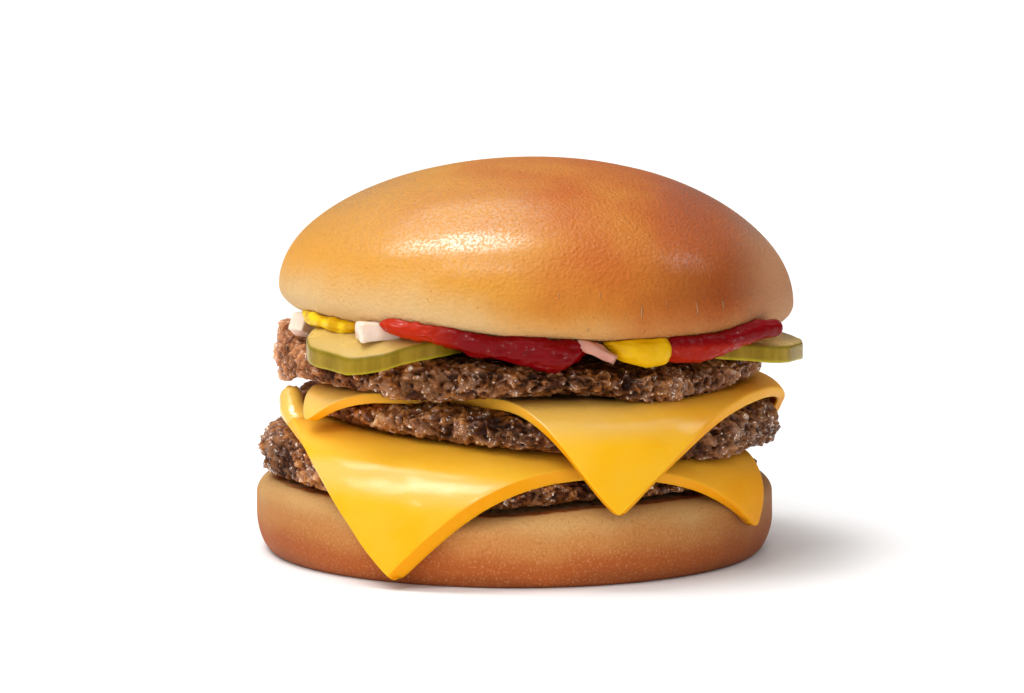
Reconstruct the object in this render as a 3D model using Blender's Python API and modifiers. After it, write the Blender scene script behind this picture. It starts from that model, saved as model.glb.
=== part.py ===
"""Triple cheeseburger: its bun, three beef patties, two cheese slices and its toppings.

Frame: metres, +Z up, the origin at the middle of the heel's flat base. The dressed side faces -Y
and +X is to its right. Sizes below are in millimetres. Angles are in degrees round +Z, counted
from the dressed side (-Y) towards +X.
"""

import math
from dataclasses import dataclass

import bpy

MM = 0.001
GAP = 0.35  # air kept between two neighbours

HEEL_RADIUS = 51.0
HEEL_HEIGHT = 14.8
HEEL_FOOT = (3.6, 7.9)  # reach and height of the rounding at the foot
HEEL_SHOULDER = (4.2, 3.6)  # the same at the cut face

CROWN_RADIUS = 50.35
CROWN_SHIFT = 4.1  # the crown sits this far towards +X
CROWN_LIP = (7.0, 4.2)  # reach and height of the lip below the widest ring
CROWN_FULLNESS = 1.98  # exponent of the dome's outline: 2 is an ellipse
CROWN_SAG = 3.0  # how far the cut face sinks at the back, where no pickle props it up

PATTY_RIM = (0.14, 0.07)  # rounding of a patty's rim above and below, as shares of its radius

SLICE_THICKNESS = 2.0
SLICE_BEND = 6.5  # radius of the bend of a slice over a patty's rim
SLICE_HANG = math.radians(86.0)  # how steeply a corner hangs

PICKLE_RADIUS = 16.0
PICKLE_THICKNESS = 3.6


@dataclass(frozen=True)
class Level:
    """A gently sloping surface: its height over the axis and its rise for each unit along +X."""

    height: float
    slope: float

    def at(self, x):
        return self.height + self.slope * x

    def raised(self, by):
        return Level(self.height + by, self.slope)


@dataclass(frozen=True)
class Patty:
    """A beef patty pressed between two levels, with an uneven round outline."""

    name: str
    centre: float
    radius: float
    floor: Level
    roof: Level
    waves: tuple  # (lobes round the rim, share of the radius, phase)
    swell: tuple  # (angle, half width, change of the floor, change of the roof) at the rim

    def outline(self, angle):
        return self.radius * (1.0 + sum(s * math.sin(n * angle + p) for n, s, p in self.waves))


@dataclass(frozen=True)
class Corner:
    """A corner of a slice: its angle and distance from the patty's axis while the slice is flat,
    the radius at which it hangs, and 1 if it hangs down or -1 if it is pushed up."""

    angle: float
    distance: float
    hang: float
    way: float


@dataclass(frozen=True)
class Slice:
    """A cheese slice on a patty, by its four corners in order of angle."""

    name: str
    patty: Patty
    corners: tuple
    bows: tuple  # how far the side after each corner curves in, as a share

    def blend(self, angle, field):
        """A corner's value at any angle, blended between the two corners that it lies between."""
        turn = math.degrees(angle)
        for i, after in enumerate(self.corners):
            before = self.corners[i - 1]
            span, on = (after.angle - before.angle) % 360.0, (turn - before.angle) % 360.0
            if on <= span:
                start, end = getattr(before, field), getattr(after, field)
                return start + (end - start) * smooth_step(on / span)
        return getattr(self.corners[0], field)


@dataclass(frozen=True)
class Pickle:
    """A pickle slice on the upper patty that droops past the patty's shoulder."""

    name: str
    centre: tuple
    shoulder: float  # distance from the axis at which it starts to droop
    droop: float  # fall for each square millimetre past the shoulder


@dataclass(frozen=True)
class Topping:
    """A soft lump or strip: its middle, half sizes, turn round +Z, roll and squareness."""

    name: str
    middle: tuple
    half: tuple
    turn: float
    roll: float
    squareness: float


CUT_FACE = Level(46.0, -0.036)
DOME_TOP = Level(76.6, -0.008)
LOWER = Patty("patty_lower", -1.6, 48.0, Level(HEEL_HEIGHT + GAP, 0.0), Level(22.2, -0.075),
              ((2, 0.005, 0.4), (5, 0.006, 1.1), (9, 0.005, 2.0), (14, 0.003, 0.3)),
              (-92.0, 30.0, 0.0, 0.2))
LOWER_SLICE = Slice("cheese_lower", LOWER,
                    (Corner(-22.8, 72.6, 52.8, 1.0), Corner(59.5, 63.2, 54.2, 1.0),
                     Corner(149.0, 55.0, 52.0, 1.0), Corner(255.0, 47.4, 44.8, -1.0)),
                    (0.025, 0.03, 0.03, -0.15))
MIDDLE = Patty("patty_middle", 4.5, 46.3, LOWER.roof.raised(SLICE_THICKNESS + 2 * GAP), Level(31.7, -0.015),
               ((3, 0.006, 0.9), (4, 0.005, 2.6), (8, 0.006, 1.2), (13, 0.003, 2.2)),
               (92.0, 30.0, -1.6, -1.6))
UPPER_SLICE = Slice("cheese_upper", MIDDLE,
                    (Corner(15.8, 67.2, 51.6, 1.0), Corner(105.0, 59.0, 48.5, 1.0),
                     Corner(201.0, 56.0, 51.0, 1.0), Corner(298.5, 55.3, 52.2, 1.0)),
                    (-0.03, 0.03, 0.03, 0.03))
UPPER = Patty("patty_upper", 0.4, 47.2, MIDDLE.roof.raised(SLICE_THICKNESS + 2 * GAP), Level(41.3, -0.030),
              ((2, 0.005, 2.1), (5, 0.009, 0.2), (7, 0.006, 1.5), (12, 0.005, 0.8)),
              (-90.0, 34.0, -2.6, 0.6))
PICKLES = (Pickle("pickle_left", (-24.8, -24.7), 40.6, 0.038),
           Pickle("pickle_right", (39.2, -14.5), 39.5, 0.0080))
ONIONS = (Topping("onion_left", (-41.8, -9.5, 44.6), (2.4, 1.7, 1.3), 70.0, 8.0, 3.2),
          Topping("onion_mid", (-27.3, -34.5, 45.2), (4.0, 2.6, 1.2), 28.0, 0.0, 3.6),
          Topping("onion_right", (15.4, -44.4, 43.2), (4.2, 1.7, 0.9), -8.0, 22.0, 3.4))
MUSTARD = (Topping("mustard_left", (-37.0, -23.0, 46.2), (6.2, 2.6, 1.2), -50.0, 0.0, 2.4),
           Topping("mustard_right", (23.4, -36.4, 43.0), (6.7, 6.4, 3.0), 20.0, 0.0, 2.8))
KETCHUP = (Topping("ketchup_left", (-15.5, -41.0, 44.4), (9.0, 3.0, 1.6), 22.0, 0.0, 2.4),
           Topping("ketchup_mid", (3.0, -3.0, 43.0), (10.8, 45.6, 3.4), 0.0, 0.0, 2.8),
           Topping("ketchup_right", (41.9, -27.2, 43.7), (15.0, 3.2, 1.8), 50.0, 0.0, 2.4))


def clear_scene():
    """Takes every object out of the scene."""
    for obj in list(bpy.data.objects):
        bpy.data.objects.remove(obj)


def food_material(name, colour, roughness):
    """A non-metal Principled material of one colour."""
    material = bpy.data.materials.new(name)
    material.use_nodes = True
    shader = material.node_tree.nodes["Principled BSDF"]
    shader.inputs["Base Color"].default_value = (*colour, 1.0)
    shader.inputs["Roughness"].default_value = roughness
    shader.inputs["Metallic"].default_value = 0.0
    return material


def add_object(name, mesh, material, collection):
    """Links a mesh as a smooth-shaded object of the burger."""
    obj = bpy.data.objects.new(name, mesh)
    collection.objects.link(obj)
    mesh.materials.clear()
    mesh.materials.append(material)
    mesh.shade_smooth()
    return obj


def evaluated_mesh(obj):
    """The object's mesh with its modifiers, after which the object is removed."""
    graph = bpy.context.evaluated_depsgraph_get()
    mesh = bpy.data.meshes.new_from_object(obj.evaluated_get(graph))
    bpy.data.objects.remove(obj)
    return mesh


def turned(profile, segments):
    """A mesh turned round +Z from (radius, height) points that run down the outer side."""
    mesh = bpy.data.meshes.new("profile")
    edges = [(i, i + 1) for i in range(len(profile) - 1)]
    mesh.from_pydata([(radius, 0.0, height) for radius, height in profile], edges, [])
    obj = bpy.data.objects.new("profile", mesh)
    bpy.context.scene.collection.objects.link(obj)
    screw = obj.modifiers.new("turn", "SCREW")
    screw.steps = segments
    screw.render_steps = segments
    screw.use_merge_vertices = True
    screw.merge_threshold = 0.0001
    return evaluated_mesh(obj)


def shaped(mesh, place):
    """Moves every vertex to place(x, y, z), which works in millimetres, and scales to metres."""
    for vertex in mesh.vertices:
        vertex.co = [value * MM for value in place(*vertex.co)]
    return mesh


def polar(x, y):
    """(angle, distance) of a point, the angle counted from -Y towards +X."""
    return math.atan2(x, -y), math.hypot(x, y)


def at_polar(angle, distance):
    return distance * math.sin(angle), -distance * math.cos(angle)


def smooth_step(share):
    share = min(max(share, 0.0), 1.0)
    return share * share * (3.0 - 2.0 * share)


def near(angle, middle, half_width):
    """1 in the middle of a stretch of the rim and 0 outside it."""
    return smooth_step(1.0 - abs(math.degrees(angle) - middle) / half_width)


def arc(centre, reach, start, end, count):
    """Points on an elliptic arc, with its centre, its two half axes and its angles in degrees."""
    turns = [math.radians(start + (end - start) * i / count) for i in range(count + 1)]
    return [(centre[0] + reach[0] * math.cos(t), centre[1] + reach[1] * math.sin(t)) for t in turns]


def cut_face_at(x, y):
    """Height of the crown's underside inside its lip."""
    return CUT_FACE.at(x) - CROWN_SAG * smooth_step((y + 4.0) / 46.0)


def heel_mesh():
    """The bottom half of the bun: a flat foot, a rounded side and a flat cut face."""
    (foot, rise), (shoulder, fall) = HEEL_FOOT, HEEL_SHOULDER
    profile = [(0.0, HEEL_HEIGHT), (HEEL_RADIUS * 0.6, HEEL_HEIGHT)]
    profile += arc((HEEL_RADIUS - shoulder, HEEL_HEIGHT - fall), (shoulder, fall), 90, 0, 4)
    profile += arc((HEEL_RADIUS - foot, rise), (foot, rise), 0, -90, 5)
    profile.append((0.0, 0.0))
    return shaped(turned(profile, 52), lambda x, y, z: (x, y, z))


def crown_mesh():
    """The domed top half of the bun, its lip rolled under to a cut face that leans to +X."""
    power = 2.0 / CROWN_FULLNESS
    reach, lip = CROWN_LIP
    profile = [(0.0, 1.0)]
    for angle in (78, 66, 54, 43, 32, 21, 10):
        turn = math.radians(angle)
        profile.append((CROWN_RADIUS * math.cos(turn) ** power, math.sin(turn) ** power))
    profile += arc((CROWN_RADIUS - reach, 0.0), (reach, 1.0), 0, -90, 5)
    profile += [((CROWN_RADIUS - reach) * share, -1.0) for share in (0.8, 0.5, 0.25)] + [(0.0, -1.0)]

    def place(x, y, z):
        side = CROWN_SHIFT + x
        ring = cut_face_at(side, y) + lip
        rise = (DOME_TOP.at(side) - ring) * z if z > 0.0 else lip * z
        return side, y, ring + rise

    return shaped(turned(profile, 56), place)


def patty_mesh(patty):
    """A round cake with a lumpy, rounded rim that fills the room between its two levels."""
    above, below = PATTY_RIM
    profile = [(0.0, 1.0), (0.6, 1.0)] + arc((1.0 - above, 0.0), (above, 1.0), 90, 0, 4)
    profile += arc((1.0 - below, 0.0), (below, 1.0), 0, -90, 3)[1:] + [(0.6, -1.0), (0.0, -1.0)]
    middle, width, floor_change, roof_change = patty.swell

    def place(x, y, z):
        angle, share = polar(x, y)
        lumps = 0.004 * math.sin(11 * angle + 2.0 * z + patty.radius) * share ** 4
        side, depth = at_polar(angle, patty.outline(angle) * (share + lumps))
        side += patty.centre
        end = near(angle, middle, width) * smooth_step((share - 0.90) / 0.09)
        low = patty.floor.at(side) + floor_change * end
        high = patty.roof.at(side) + roof_change * end
        return side, depth, (low + high) / 2 + z * (high - low) / 2

    return shaped(turned(profile, 44), place)


def draped(cheese, x, y):
    """Where a point of the flat slice comes to lie, as (x, y, drop) from the patty's axis.

    Past the rim the slice bends about its corner's diagonal, so a corner hangs as a flat flap.
    """
    angle, distance = polar(x, y)
    start = cheese.blend(angle, "hang") - SLICE_BEND * math.sin(SLICE_HANG)
    if distance <= start:
        return x, y, 0.0
    turns = [(math.degrees(angle) - corner.angle + 180.0) % 360.0 - 180.0 for corner in cheese.corners]
    off = min(turns, key=abs)
    lead = angle - math.radians(off - off * min(abs(off) / 45.0, 1.0))
    ahead = at_polar(lead, 1.0)
    along = x * ahead[0] + y * ahead[1]
    past = along - math.sqrt(max(along ** 2 - distance ** 2 + start ** 2, 0.0))
    bent = min(past / SLICE_BEND, SLICE_HANG)
    left = past - bent * SLICE_BEND
    out = SLICE_BEND * math.sin(bent) + left * math.cos(bent) - past
    drop = SLICE_BEND * (1.0 - math.cos(bent)) + left * math.sin(bent)
    return x + out * ahead[0], y + out * ahead[1], drop * cheese.blend(angle, "way")


def slice_mesh(cheese):
    """A square slice laid on its patty: flat on the meat, its corners bent over the rim."""
    patty = cheese.patty
    flat = [at_polar(math.radians(corner.angle), corner.distance) for corner in cheese.corners]
    front, right, back, left = cheese.bows

    def place(x, y, _):
        u, v = x / 2 + 0.5, y / 2 + 0.5
        shares = ((1 - u) * (1 - v), u * (1 - v), u * v, (1 - u) * v)
        pinch = 1.0 - (right if x > 0.0 else left) * x * x * (1 - y * y)
        pinch -= (back if y > 0.0 else front) * y * y * (1 - x * x)
        side = pinch * sum(share * corner[0] for share, corner in zip(shares, flat))
        depth = pinch * sum(share * corner[1] for share, corner in zip(shares, flat))
        side, depth, drop = draped(cheese, side, depth)
        side += patty.centre
        return side, depth, patty.roof.at(side) + GAP + SLICE_THICKNESS / 2 - drop

    bpy.ops.mesh.primitive_grid_add(x_subdivisions=22, y_subdivisions=22, size=2.0)
    return shaped(evaluated_mesh(bpy.context.object), place)


def pickle_level(pickle, x, y):
    """Height of the middle of a pickle at a point."""
    past = max(math.hypot(x, y) - pickle.shoulder, 0.0)
    return UPPER.roof.at(x) + GAP + PICKLE_THICKNESS / 2 - pickle.droop * past * past


def pickle_mesh(pickle):
    """A round pickle slice laid over the upper patty's shoulder."""
    profile = [(PICKLE_RADIUS * share, 0.0) for share in (0.0, 0.3, 0.55, 0.8, 1.0)]

    def place(x, y, _):
        angle, _ = polar(x, y)
        ripple = 1.0 + 0.012 * math.sin(7 * angle)
        side, depth = pickle.centre[0] + x * ripple, pickle.centre[1] + y * ripple
        return side, depth, pickle_level(pickle, side, depth)

    return shaped(turned(profile, 24), place)


def floor_under(x, y):
    """Height of what a topping lies on: the upper patty, or a pickle with a ramp round its edge."""
    past = max(math.hypot(x - UPPER.centre, y) - UPPER.radius + 1.5, 0.0)
    height = UPPER.roof.at(x) - 0.35 * past * past
    for pickle in PICKLES:
        away = math.hypot(x - pickle.centre[0], y - pickle.centre[1]) - PICKLE_RADIUS
        top = pickle_level(pickle, x, y) + PICKLE_THICKNESS / 2
        height += max(top - height, 0.0) * smooth_step((5.0 - away) / 1.6)
    return height + GAP


def roof_over(x, y):
    """Height of the crown's underside at a point, its lip included; open air past the lip."""
    reach, lip = CROWN_LIP
    out = (math.hypot(x - CROWN_SHIFT, y) - CROWN_RADIUS + reach) / reach
    if out >= 1.0:
        return DOME_TOP.height
    rise = lip * (1.0 - math.sqrt(1.0 - max(out, 0.0) ** 2))
    return cut_face_at(x, y) + rise - GAP


def topping_mesh(topping):
    """A lump between a ball and a box, turned, rolled and squeezed between its neighbours."""
    rounds = 2.0 / topping.squareness
    turn, slope = math.radians(topping.turn), math.tan(math.radians(topping.roll))

    def squared(value):
        return math.copysign(abs(value) ** rounds, value)

    def place(x, y, z):
        angle, across = polar(x, y)
        x = topping.half[0] * squared(math.sin(angle)) * across
        y = -topping.half[1] * squared(math.cos(angle)) * across
        side = topping.middle[0] + x * math.cos(turn) - y * math.sin(turn)
        depth = topping.middle[1] + x * math.sin(turn) + y * math.cos(turn)
        level = topping.middle[2] - slope * x
        low = max(level - topping.half[2], floor_under(side, depth))
        high = max(min(level + topping.half[2], roof_over(side, depth)), low + 0.5)
        return side, depth, low + (high - low) * (z + 1.0) / 2.0

    ball = arc((0.0, 0.0), (1.0, 1.0), 90, -90, 6)
    profile = [(abs(r) ** rounds, squared(z)) for r, z in ball[1:-1]]
    return shaped(turned([(0.0, 1.0)] + profile + [(0.0, -1.0)], 14), place)


def thicken(obj, thickness):
    """Gives an open surface its thickness, half to each side."""
    solid = obj.modifiers.new("thickness", "SOLIDIFY")
    solid.thickness = thickness * MM
    solid.offset = 0.0
    solid.use_even_offset = True


def build():
    """Makes every node of the burger."""
    clear_scene()
    burger = bpy.data.collections.new("triple_cheeseburger")
    bpy.context.scene.collection.children.link(burger)
    crust = food_material("bun_crust", (0.72, 0.38, 0.14), 0.45)
    beef = food_material("seared_beef", (0.13, 0.065, 0.035), 0.5)
    cheese = food_material("processed_cheese", (0.93, 0.55, 0.09), 0.35)
    pickled = food_material("pickled_cucumber", (0.36, 0.35, 0.06), 0.3)
    onion = food_material("raw_onion", (0.86, 0.78, 0.70), 0.3)
    mustard = food_material("yellow_mustard", (0.90, 0.68, 0.02), 0.3)
    ketchup = food_material("tomato_ketchup", (0.45, 0.02, 0.015), 0.2)
    add_object("bun_heel", heel_mesh(), crust, burger)
    add_object("bun_crown", crown_mesh(), crust, burger)
    for patty in (LOWER, MIDDLE, UPPER):
        add_object(patty.name, patty_mesh(patty), beef, burger)
    for layer in (LOWER_SLICE, UPPER_SLICE):
        thicken(add_object(layer.name, slice_mesh(layer), cheese, burger), SLICE_THICKNESS)
    for pickle in PICKLES:
        thicken(add_object(pickle.name, pickle_mesh(pickle), pickled, burger), PICKLE_THICKNESS)
    for toppings, material in ((ONIONS, onion), (MUSTARD, mustard), (KETCHUP, ketchup)):
        for topping in toppings:
            add_object(topping.name, topping_mesh(topping), material, burger)


build()
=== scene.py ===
"""Looks of a triple cheeseburger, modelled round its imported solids.

Frame: +Z up, the dressed side faces -Y, +X is to its right, and the origin is at the middle of the
heel's flat base. Sizes are in millimetres and become metres when a mesh is finished. Angles are in
degrees round +Z, counted from -Y towards +X.
"""

from __future__ import annotations

import logging
import math
from collections.abc import Callable, Iterable, Sequence
from dataclasses import dataclass
from enum import Enum

import bpy
import numpy as np
from bpy.types import ID, Material, Node, NodeSocket, Object, World
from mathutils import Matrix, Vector

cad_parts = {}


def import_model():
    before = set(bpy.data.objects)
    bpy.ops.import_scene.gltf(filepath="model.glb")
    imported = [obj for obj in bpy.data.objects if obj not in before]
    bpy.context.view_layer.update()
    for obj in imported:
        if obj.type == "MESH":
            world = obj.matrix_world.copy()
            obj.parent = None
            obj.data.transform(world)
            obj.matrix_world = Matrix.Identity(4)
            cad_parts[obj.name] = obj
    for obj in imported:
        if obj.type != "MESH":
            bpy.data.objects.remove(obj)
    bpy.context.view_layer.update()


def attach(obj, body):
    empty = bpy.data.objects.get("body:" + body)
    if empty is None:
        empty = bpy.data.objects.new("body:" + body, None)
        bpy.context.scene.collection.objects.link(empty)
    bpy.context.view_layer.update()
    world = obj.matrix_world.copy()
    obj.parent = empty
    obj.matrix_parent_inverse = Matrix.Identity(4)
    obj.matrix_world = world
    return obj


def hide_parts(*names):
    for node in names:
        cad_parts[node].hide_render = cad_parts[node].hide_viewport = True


MM = 0.001
BODY = "root"
LOG = logging.getLogger("burger")

Points = np.ndarray
Numbers = np.ndarray
Pair = tuple[float, float]
Triple = tuple[float, float, float]
Chain = Sequence[Sequence[float]]
Cut = Sequence[Triple]


class Slot(Enum):
    """The record's material slots."""

    CRUST = "bun_crust"
    BEEF = "seared_beef"
    CHEESE = "processed_cheese"
    PICKLE = "pickled_cucumber"
    ONION = "raw_onion"
    MUSTARD = "yellow_mustard"
    KETCHUP = "tomato_ketchup"


# ---------------------------------------------------------------- numbers over a surface

# The factors and shifts of a hash that works on 32 bits and gives 24.
CELL_FACTORS = (374761393, 668265263, 2147483629)
SEED_FACTOR = 974711
STIRS = ((13, 1274126177), (15, 2246822519))
LAST_SHIFT = 16
WORD = 0xFFFFFFFF
SHARE_BITS = 0xFFFFFF
NO_GRAIN = 9.0  # cells away, farther than the grains of neighbouring cells lie


def hashed(cells: np.ndarray, seed: int) -> Numbers:
    """A repeatable number from 0 to 1 for each whole-numbered cell.

    Args:
        cells: whole numbers, three in the last axis.
        seed: picks one of many such patterns.

    Returns:
        One number for each cell.
    """
    mixed = sum(cells[..., i] * factor for i, factor in enumerate(CELL_FACTORS)) + seed * SEED_FACTOR
    mixed &= WORD
    for shift, factor in STIRS:
        mixed = ((mixed ^ (mixed >> shift)) * factor) & WORD
    return ((mixed ^ (mixed >> LAST_SHIFT)) & SHARE_BITS) / SHARE_BITS


def swell(points: Points, size: float, seed: int) -> Numbers:
    """Smooth unevenness of one size.

    Args:
        points: places, three numbers each.
        size: distance over which it changes.
        seed: picks the pattern.

    Returns:
        From -1 to 1 at each point.
    """
    place = points / size
    cell = np.floor(place).astype(np.int64)
    share = smooth_step(place - cell)
    total = np.zeros(len(points))
    for corner in np.ndindex(2, 2, 2):
        step = np.array(corner)
        weight = np.prod(np.where(step == 1, share, 1.0 - share), axis=1)
        total += weight * hashed(cell + step, seed)
    return 2.0 * total - 1.0


def layered(points: Points, size: float, layers: int, seed: int) -> Numbers:
    """Unevenness of several sizes, each half the last, from about -1 to 1."""
    total = sum(swell(points, size / 2 ** i, seed + i) / 2 ** i for i in range(layers))
    return total / (2.0 - 0.5 ** (layers - 1))


def grains(points: Points, size: float, seed: int) -> tuple[Numbers, Numbers, Numbers]:
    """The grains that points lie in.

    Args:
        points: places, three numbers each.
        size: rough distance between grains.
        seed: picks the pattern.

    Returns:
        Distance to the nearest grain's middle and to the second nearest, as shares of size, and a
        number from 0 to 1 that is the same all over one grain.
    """
    place = points / size
    cell = np.floor(place).astype(np.int64)
    near = np.full(len(points), NO_GRAIN)
    second = np.full(len(points), NO_GRAIN)
    mark = np.zeros(len(points))
    for corner in np.ndindex(3, 3, 3):
        other = cell + np.array(corner) - 1
        middle = other + np.stack([hashed(other, seed + i) for i in range(3)], axis=1)
        away = np.linalg.norm(middle - place, axis=1)
        closer = away < near
        second = np.where(closer, near, np.minimum(second, away))
        mark = np.where(closer, hashed(other, seed + 3), mark)
        near = np.where(closer, away, near)
    return near, second, mark


def smooth_step(share: Numbers | float) -> Numbers | float:
    """Eases from 0 to 1 as share goes from 0 to 1."""
    held = np.clip(share, 0.0, 1.0)
    return held * held * (3.0 - 2.0 * held)


def polar(x: Numbers, y: Numbers) -> tuple[Numbers, Numbers]:
    """Angle in degrees and distance of each point from the axis."""
    return np.degrees(np.arctan2(x, -y)), np.hypot(x, y)


def at_polar(angle: Numbers | float, distance: Numbers | float) -> tuple[Numbers, Numbers]:
    """The x and y at an angle in degrees and a distance."""
    turn = np.radians(angle)
    return distance * np.sin(turn), -distance * np.cos(turn)


def wrapped(turn: Numbers | float) -> Numbers | float:
    """An angle difference brought to between -180 and 180 degrees."""
    return (turn + 180.0) % 360.0 - 180.0


def bell(angle: Numbers, middle: float, half_width: float) -> Numbers:
    """1 at an angle, easing to 0 at half_width degrees from it."""
    return smooth_step(1.0 - np.abs(wrapped(angle - middle)) / half_width)


def arc(centre: Pair, reach: Pair, start: float, end: float, count: int) -> list[Pair]:
    """Points on an elliptic arc.

    Args:
        centre: its centre.
        reach: its two half axes.
        start: first angle, in degrees.
        end: last angle, in degrees.
        count: steps between the two.

    Returns:
        count + 1 points.
    """
    turns = np.radians(np.linspace(start, end, count + 1))
    return [(centre[0] + reach[0] * math.cos(t), centre[1] + reach[1] * math.sin(t)) for t in turns]


def flat_run(reach: float, height: float, shares: Iterable[float]) -> list[Pair]:
    """Profile points at one height, at shares of a reach."""
    return [(reach * share, height) for share in shares]


# ---------------------------------------------------------------- modelling

BALL_STEP = 1.3  # between the balls that a soft body is melted from
BALL_SIDES = 20
BALL_RINGS = 12


def deselect() -> None:
    """Leaves nothing selected, so that an operator acts on the new piece only."""
    if bpy.context.mode != "OBJECT":
        bpy.ops.object.mode_set(mode="OBJECT")
    bpy.ops.object.select_all(action="DESELECT")


def select_only(obj: Object) -> None:
    """Makes one object selected and active."""
    deselect()
    obj.select_set(True)
    bpy.context.view_layer.objects.active = obj


def apply_modifier(obj: Object, kind: str, **settings: object) -> None:
    """Adds a modifier with its settings and applies it.

    Args:
        obj: the piece.
        kind: the modifier's type.
        **settings: the modifier's properties.
    """
    select_only(obj)
    modifier = obj.modifiers.new(kind.lower(), kind)
    for key, value in settings.items():
        setattr(modifier, key, value)
    bpy.ops.object.modifier_apply(modifier=modifier.name)


def placed(name: str, data: ID) -> Object:
    """Puts a mesh, a light or a camera in the scene as a new object."""
    obj = bpy.data.objects.new(name, data)
    bpy.context.scene.collection.objects.link(obj)
    return obj


def meshed(name: str, points: Points, faces: Sequence[Sequence[int]]) -> Object:
    """Makes an object from its points and from the points' numbers round each face."""
    mesh = bpy.data.meshes.new(name)
    mesh.from_pydata(points.tolist(), [], faces)
    mesh.update()
    return placed(name, mesh)


def spun(name: str, profile: Sequence[Pair], steps: int) -> Object:
    """Spins a profile round +Z.

    Args:
        name: the new object's name.
        profile: (radius, height) points from the axis at the top, down the outside, to the axis.
        steps: how many steps the turn has.

    Returns:
        A closed object with its faces pointing outwards.
    """
    rings = np.array(profile[1:-1])
    turns = np.linspace(0.0, math.tau, steps, endpoint=False)
    x, y = np.outer(np.cos(turns), rings[:, 0]), np.outer(np.sin(turns), rings[:, 0])
    wall = np.stack([x, y, np.broadcast_to(rings[:, 1], x.shape)], axis=2).reshape(-1, 3)
    points = np.vstack([[0.0, 0.0, profile[0][1]], wall, [0.0, 0.0, profile[-1][1]]])
    here = 1 + np.arange(len(wall)).reshape(x.shape)
    there = np.roll(here, -1, axis=0)
    quads = np.stack([here[:, :-1], here[:, 1:], there[:, 1:], there[:, :-1]], axis=2).reshape(-1, 4)
    caps = [(0, int(a), int(b)) for a, b in zip(here[:, 0], there[:, 0])]
    caps += [(len(points) - 1, int(b), int(a)) for a, b in zip(here[:, -1], there[:, -1])]
    return meshed(name, points, quads.tolist() + caps)


def read_points(obj: Object, key: str = "co") -> Points:
    """Reads three numbers at each of an object's vertices.

    Args:
        obj: the piece.
        key: "co" for the vertices' places, "normal" for the outward directions there.

    Returns:
        The numbers, three in a row.
    """
    flat = np.empty(len(obj.data.vertices) * 3)
    obj.data.vertices.foreach_get(key, flat)
    return flat.reshape(-1, 3)


def write_points(obj: Object, points: Points) -> None:
    """Moves an object's vertices to new places."""
    obj.data.vertices.foreach_set("co", np.ascontiguousarray(points, np.float32).ravel())
    obj.data.update()


def push_out(obj: Object, distance: Numbers) -> None:
    """Moves each of an object's vertices outwards by its distance."""
    write_points(obj, read_points(obj) + read_points(obj, "normal") * distance[:, None])


def write_mark(obj: Object, name: str, values: Numbers) -> None:
    """Stores a number at each vertex for the finish to read.

    Args:
        obj: the piece.
        name: the attribute's name.
        values: one number for each vertex.
    """
    attribute = obj.data.attributes.new(name, "FLOAT", "POINT")
    attribute.data.foreach_set("value", np.ascontiguousarray(values, np.float32))


def threaded(chain: Chain) -> Points:
    """Balls placed closely along a chain of a few.

    Args:
        chain: for each ball its middle and its three half sizes.

    Returns:
        The same six numbers for each new ball.
    """
    balls = np.array(chain, float)
    parts = [balls[:1]]
    for first, second in zip(balls, balls[1:]):
        change = second - first
        count = max(1, math.ceil(np.linalg.norm(change[:3]) / BALL_STEP))
        even = np.linspace(0.0, 1.0, count + 1)[1:, None]
        parts.append(np.hstack([first[:3] + change[:3] * even, first[3:] + change[3:] * smooth_step(even)]))
    return np.vstack(parts)


def lump(name: str, chains: Sequence[Chain], voxel: float) -> Object:
    """One soft body melted together from chains of stretched balls.

    Args:
        name: the new object's name.
        chains: the chains, each a row of balls given by their middles and half sizes.
        voxel: fineness of the melted surface.

    Returns:
        The body.
    """
    deselect()
    parts = []
    for x, y, z, wide, deep, high in np.vstack([threaded(chain) for chain in chains]):
        bpy.ops.mesh.primitive_uv_sphere_add(segments=BALL_SIDES, ring_count=BALL_RINGS,
                                             location=(x, y, z), scale=(wide, deep, high))
        parts.append(bpy.context.object)
    for part in parts:
        part.select_set(True)
    bpy.context.view_layer.objects.active = parts[0]
    bpy.ops.object.join()
    obj = bpy.context.object
    bpy.ops.object.transform_apply(location=True, rotation=True, scale=True)
    obj.name = name
    apply_modifier(obj, "REMESH", mode="VOXEL", voxel_size=voxel, use_smooth_shade=True)
    apply_modifier(obj, "SMOOTH", factor=0.6, iterations=8)
    return obj


def finish_piece(obj: Object, material: Material,
                 nodes: Sequence[str] = ()) -> Object:
    """Brings a piece to metres and puts it on the burger.

    Args:
        obj: the piece, in millimetres.
        material: its finish.
        nodes: the solids that it stands for.

    Returns:
        The piece.
    """
    write_points(obj, read_points(obj) * MM)
    obj.data.materials.clear()
    obj.data.materials.append(material)
    obj.data.shade_smooth()
    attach(obj, BODY)
    if nodes:
        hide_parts(*nodes)
    LOG.info("%s: %d faces", obj.name, len(obj.data.polygons))
    return obj


# ---------------------------------------------------------------- material building


@dataclass(frozen=True)
class Tone:
    """A colour as the eye gives it, from 0 to 255 a channel."""

    red: float
    green: float
    blue: float

    def linear(self) -> tuple[float, float, float, float]:
        """The same colour as light, by the sRGB curve, with full alpha."""
        shares = (self.red / 255.0, self.green / 255.0, self.blue / 255.0)
        light = [s / 12.92 if s <= 0.04045 else ((s + 0.055) / 1.055) ** 2.4 for s in shares]
        return (*light, 1.0)


def arithmetic(operation: str, flipped: bool = False) -> Callable[[Value, Value | float], Value]:
    """Makes an operator's method.

    Args:
        operation: the Math node's operation.
        flipped: whether the other number comes first.

    Returns:
        The method.
    """
    def method(self: Value, other: Value | float) -> Value:
        """The result with another number."""
        return self.recipe.maths(operation, *((other, self) if flipped else (self, other)))

    return method


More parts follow.
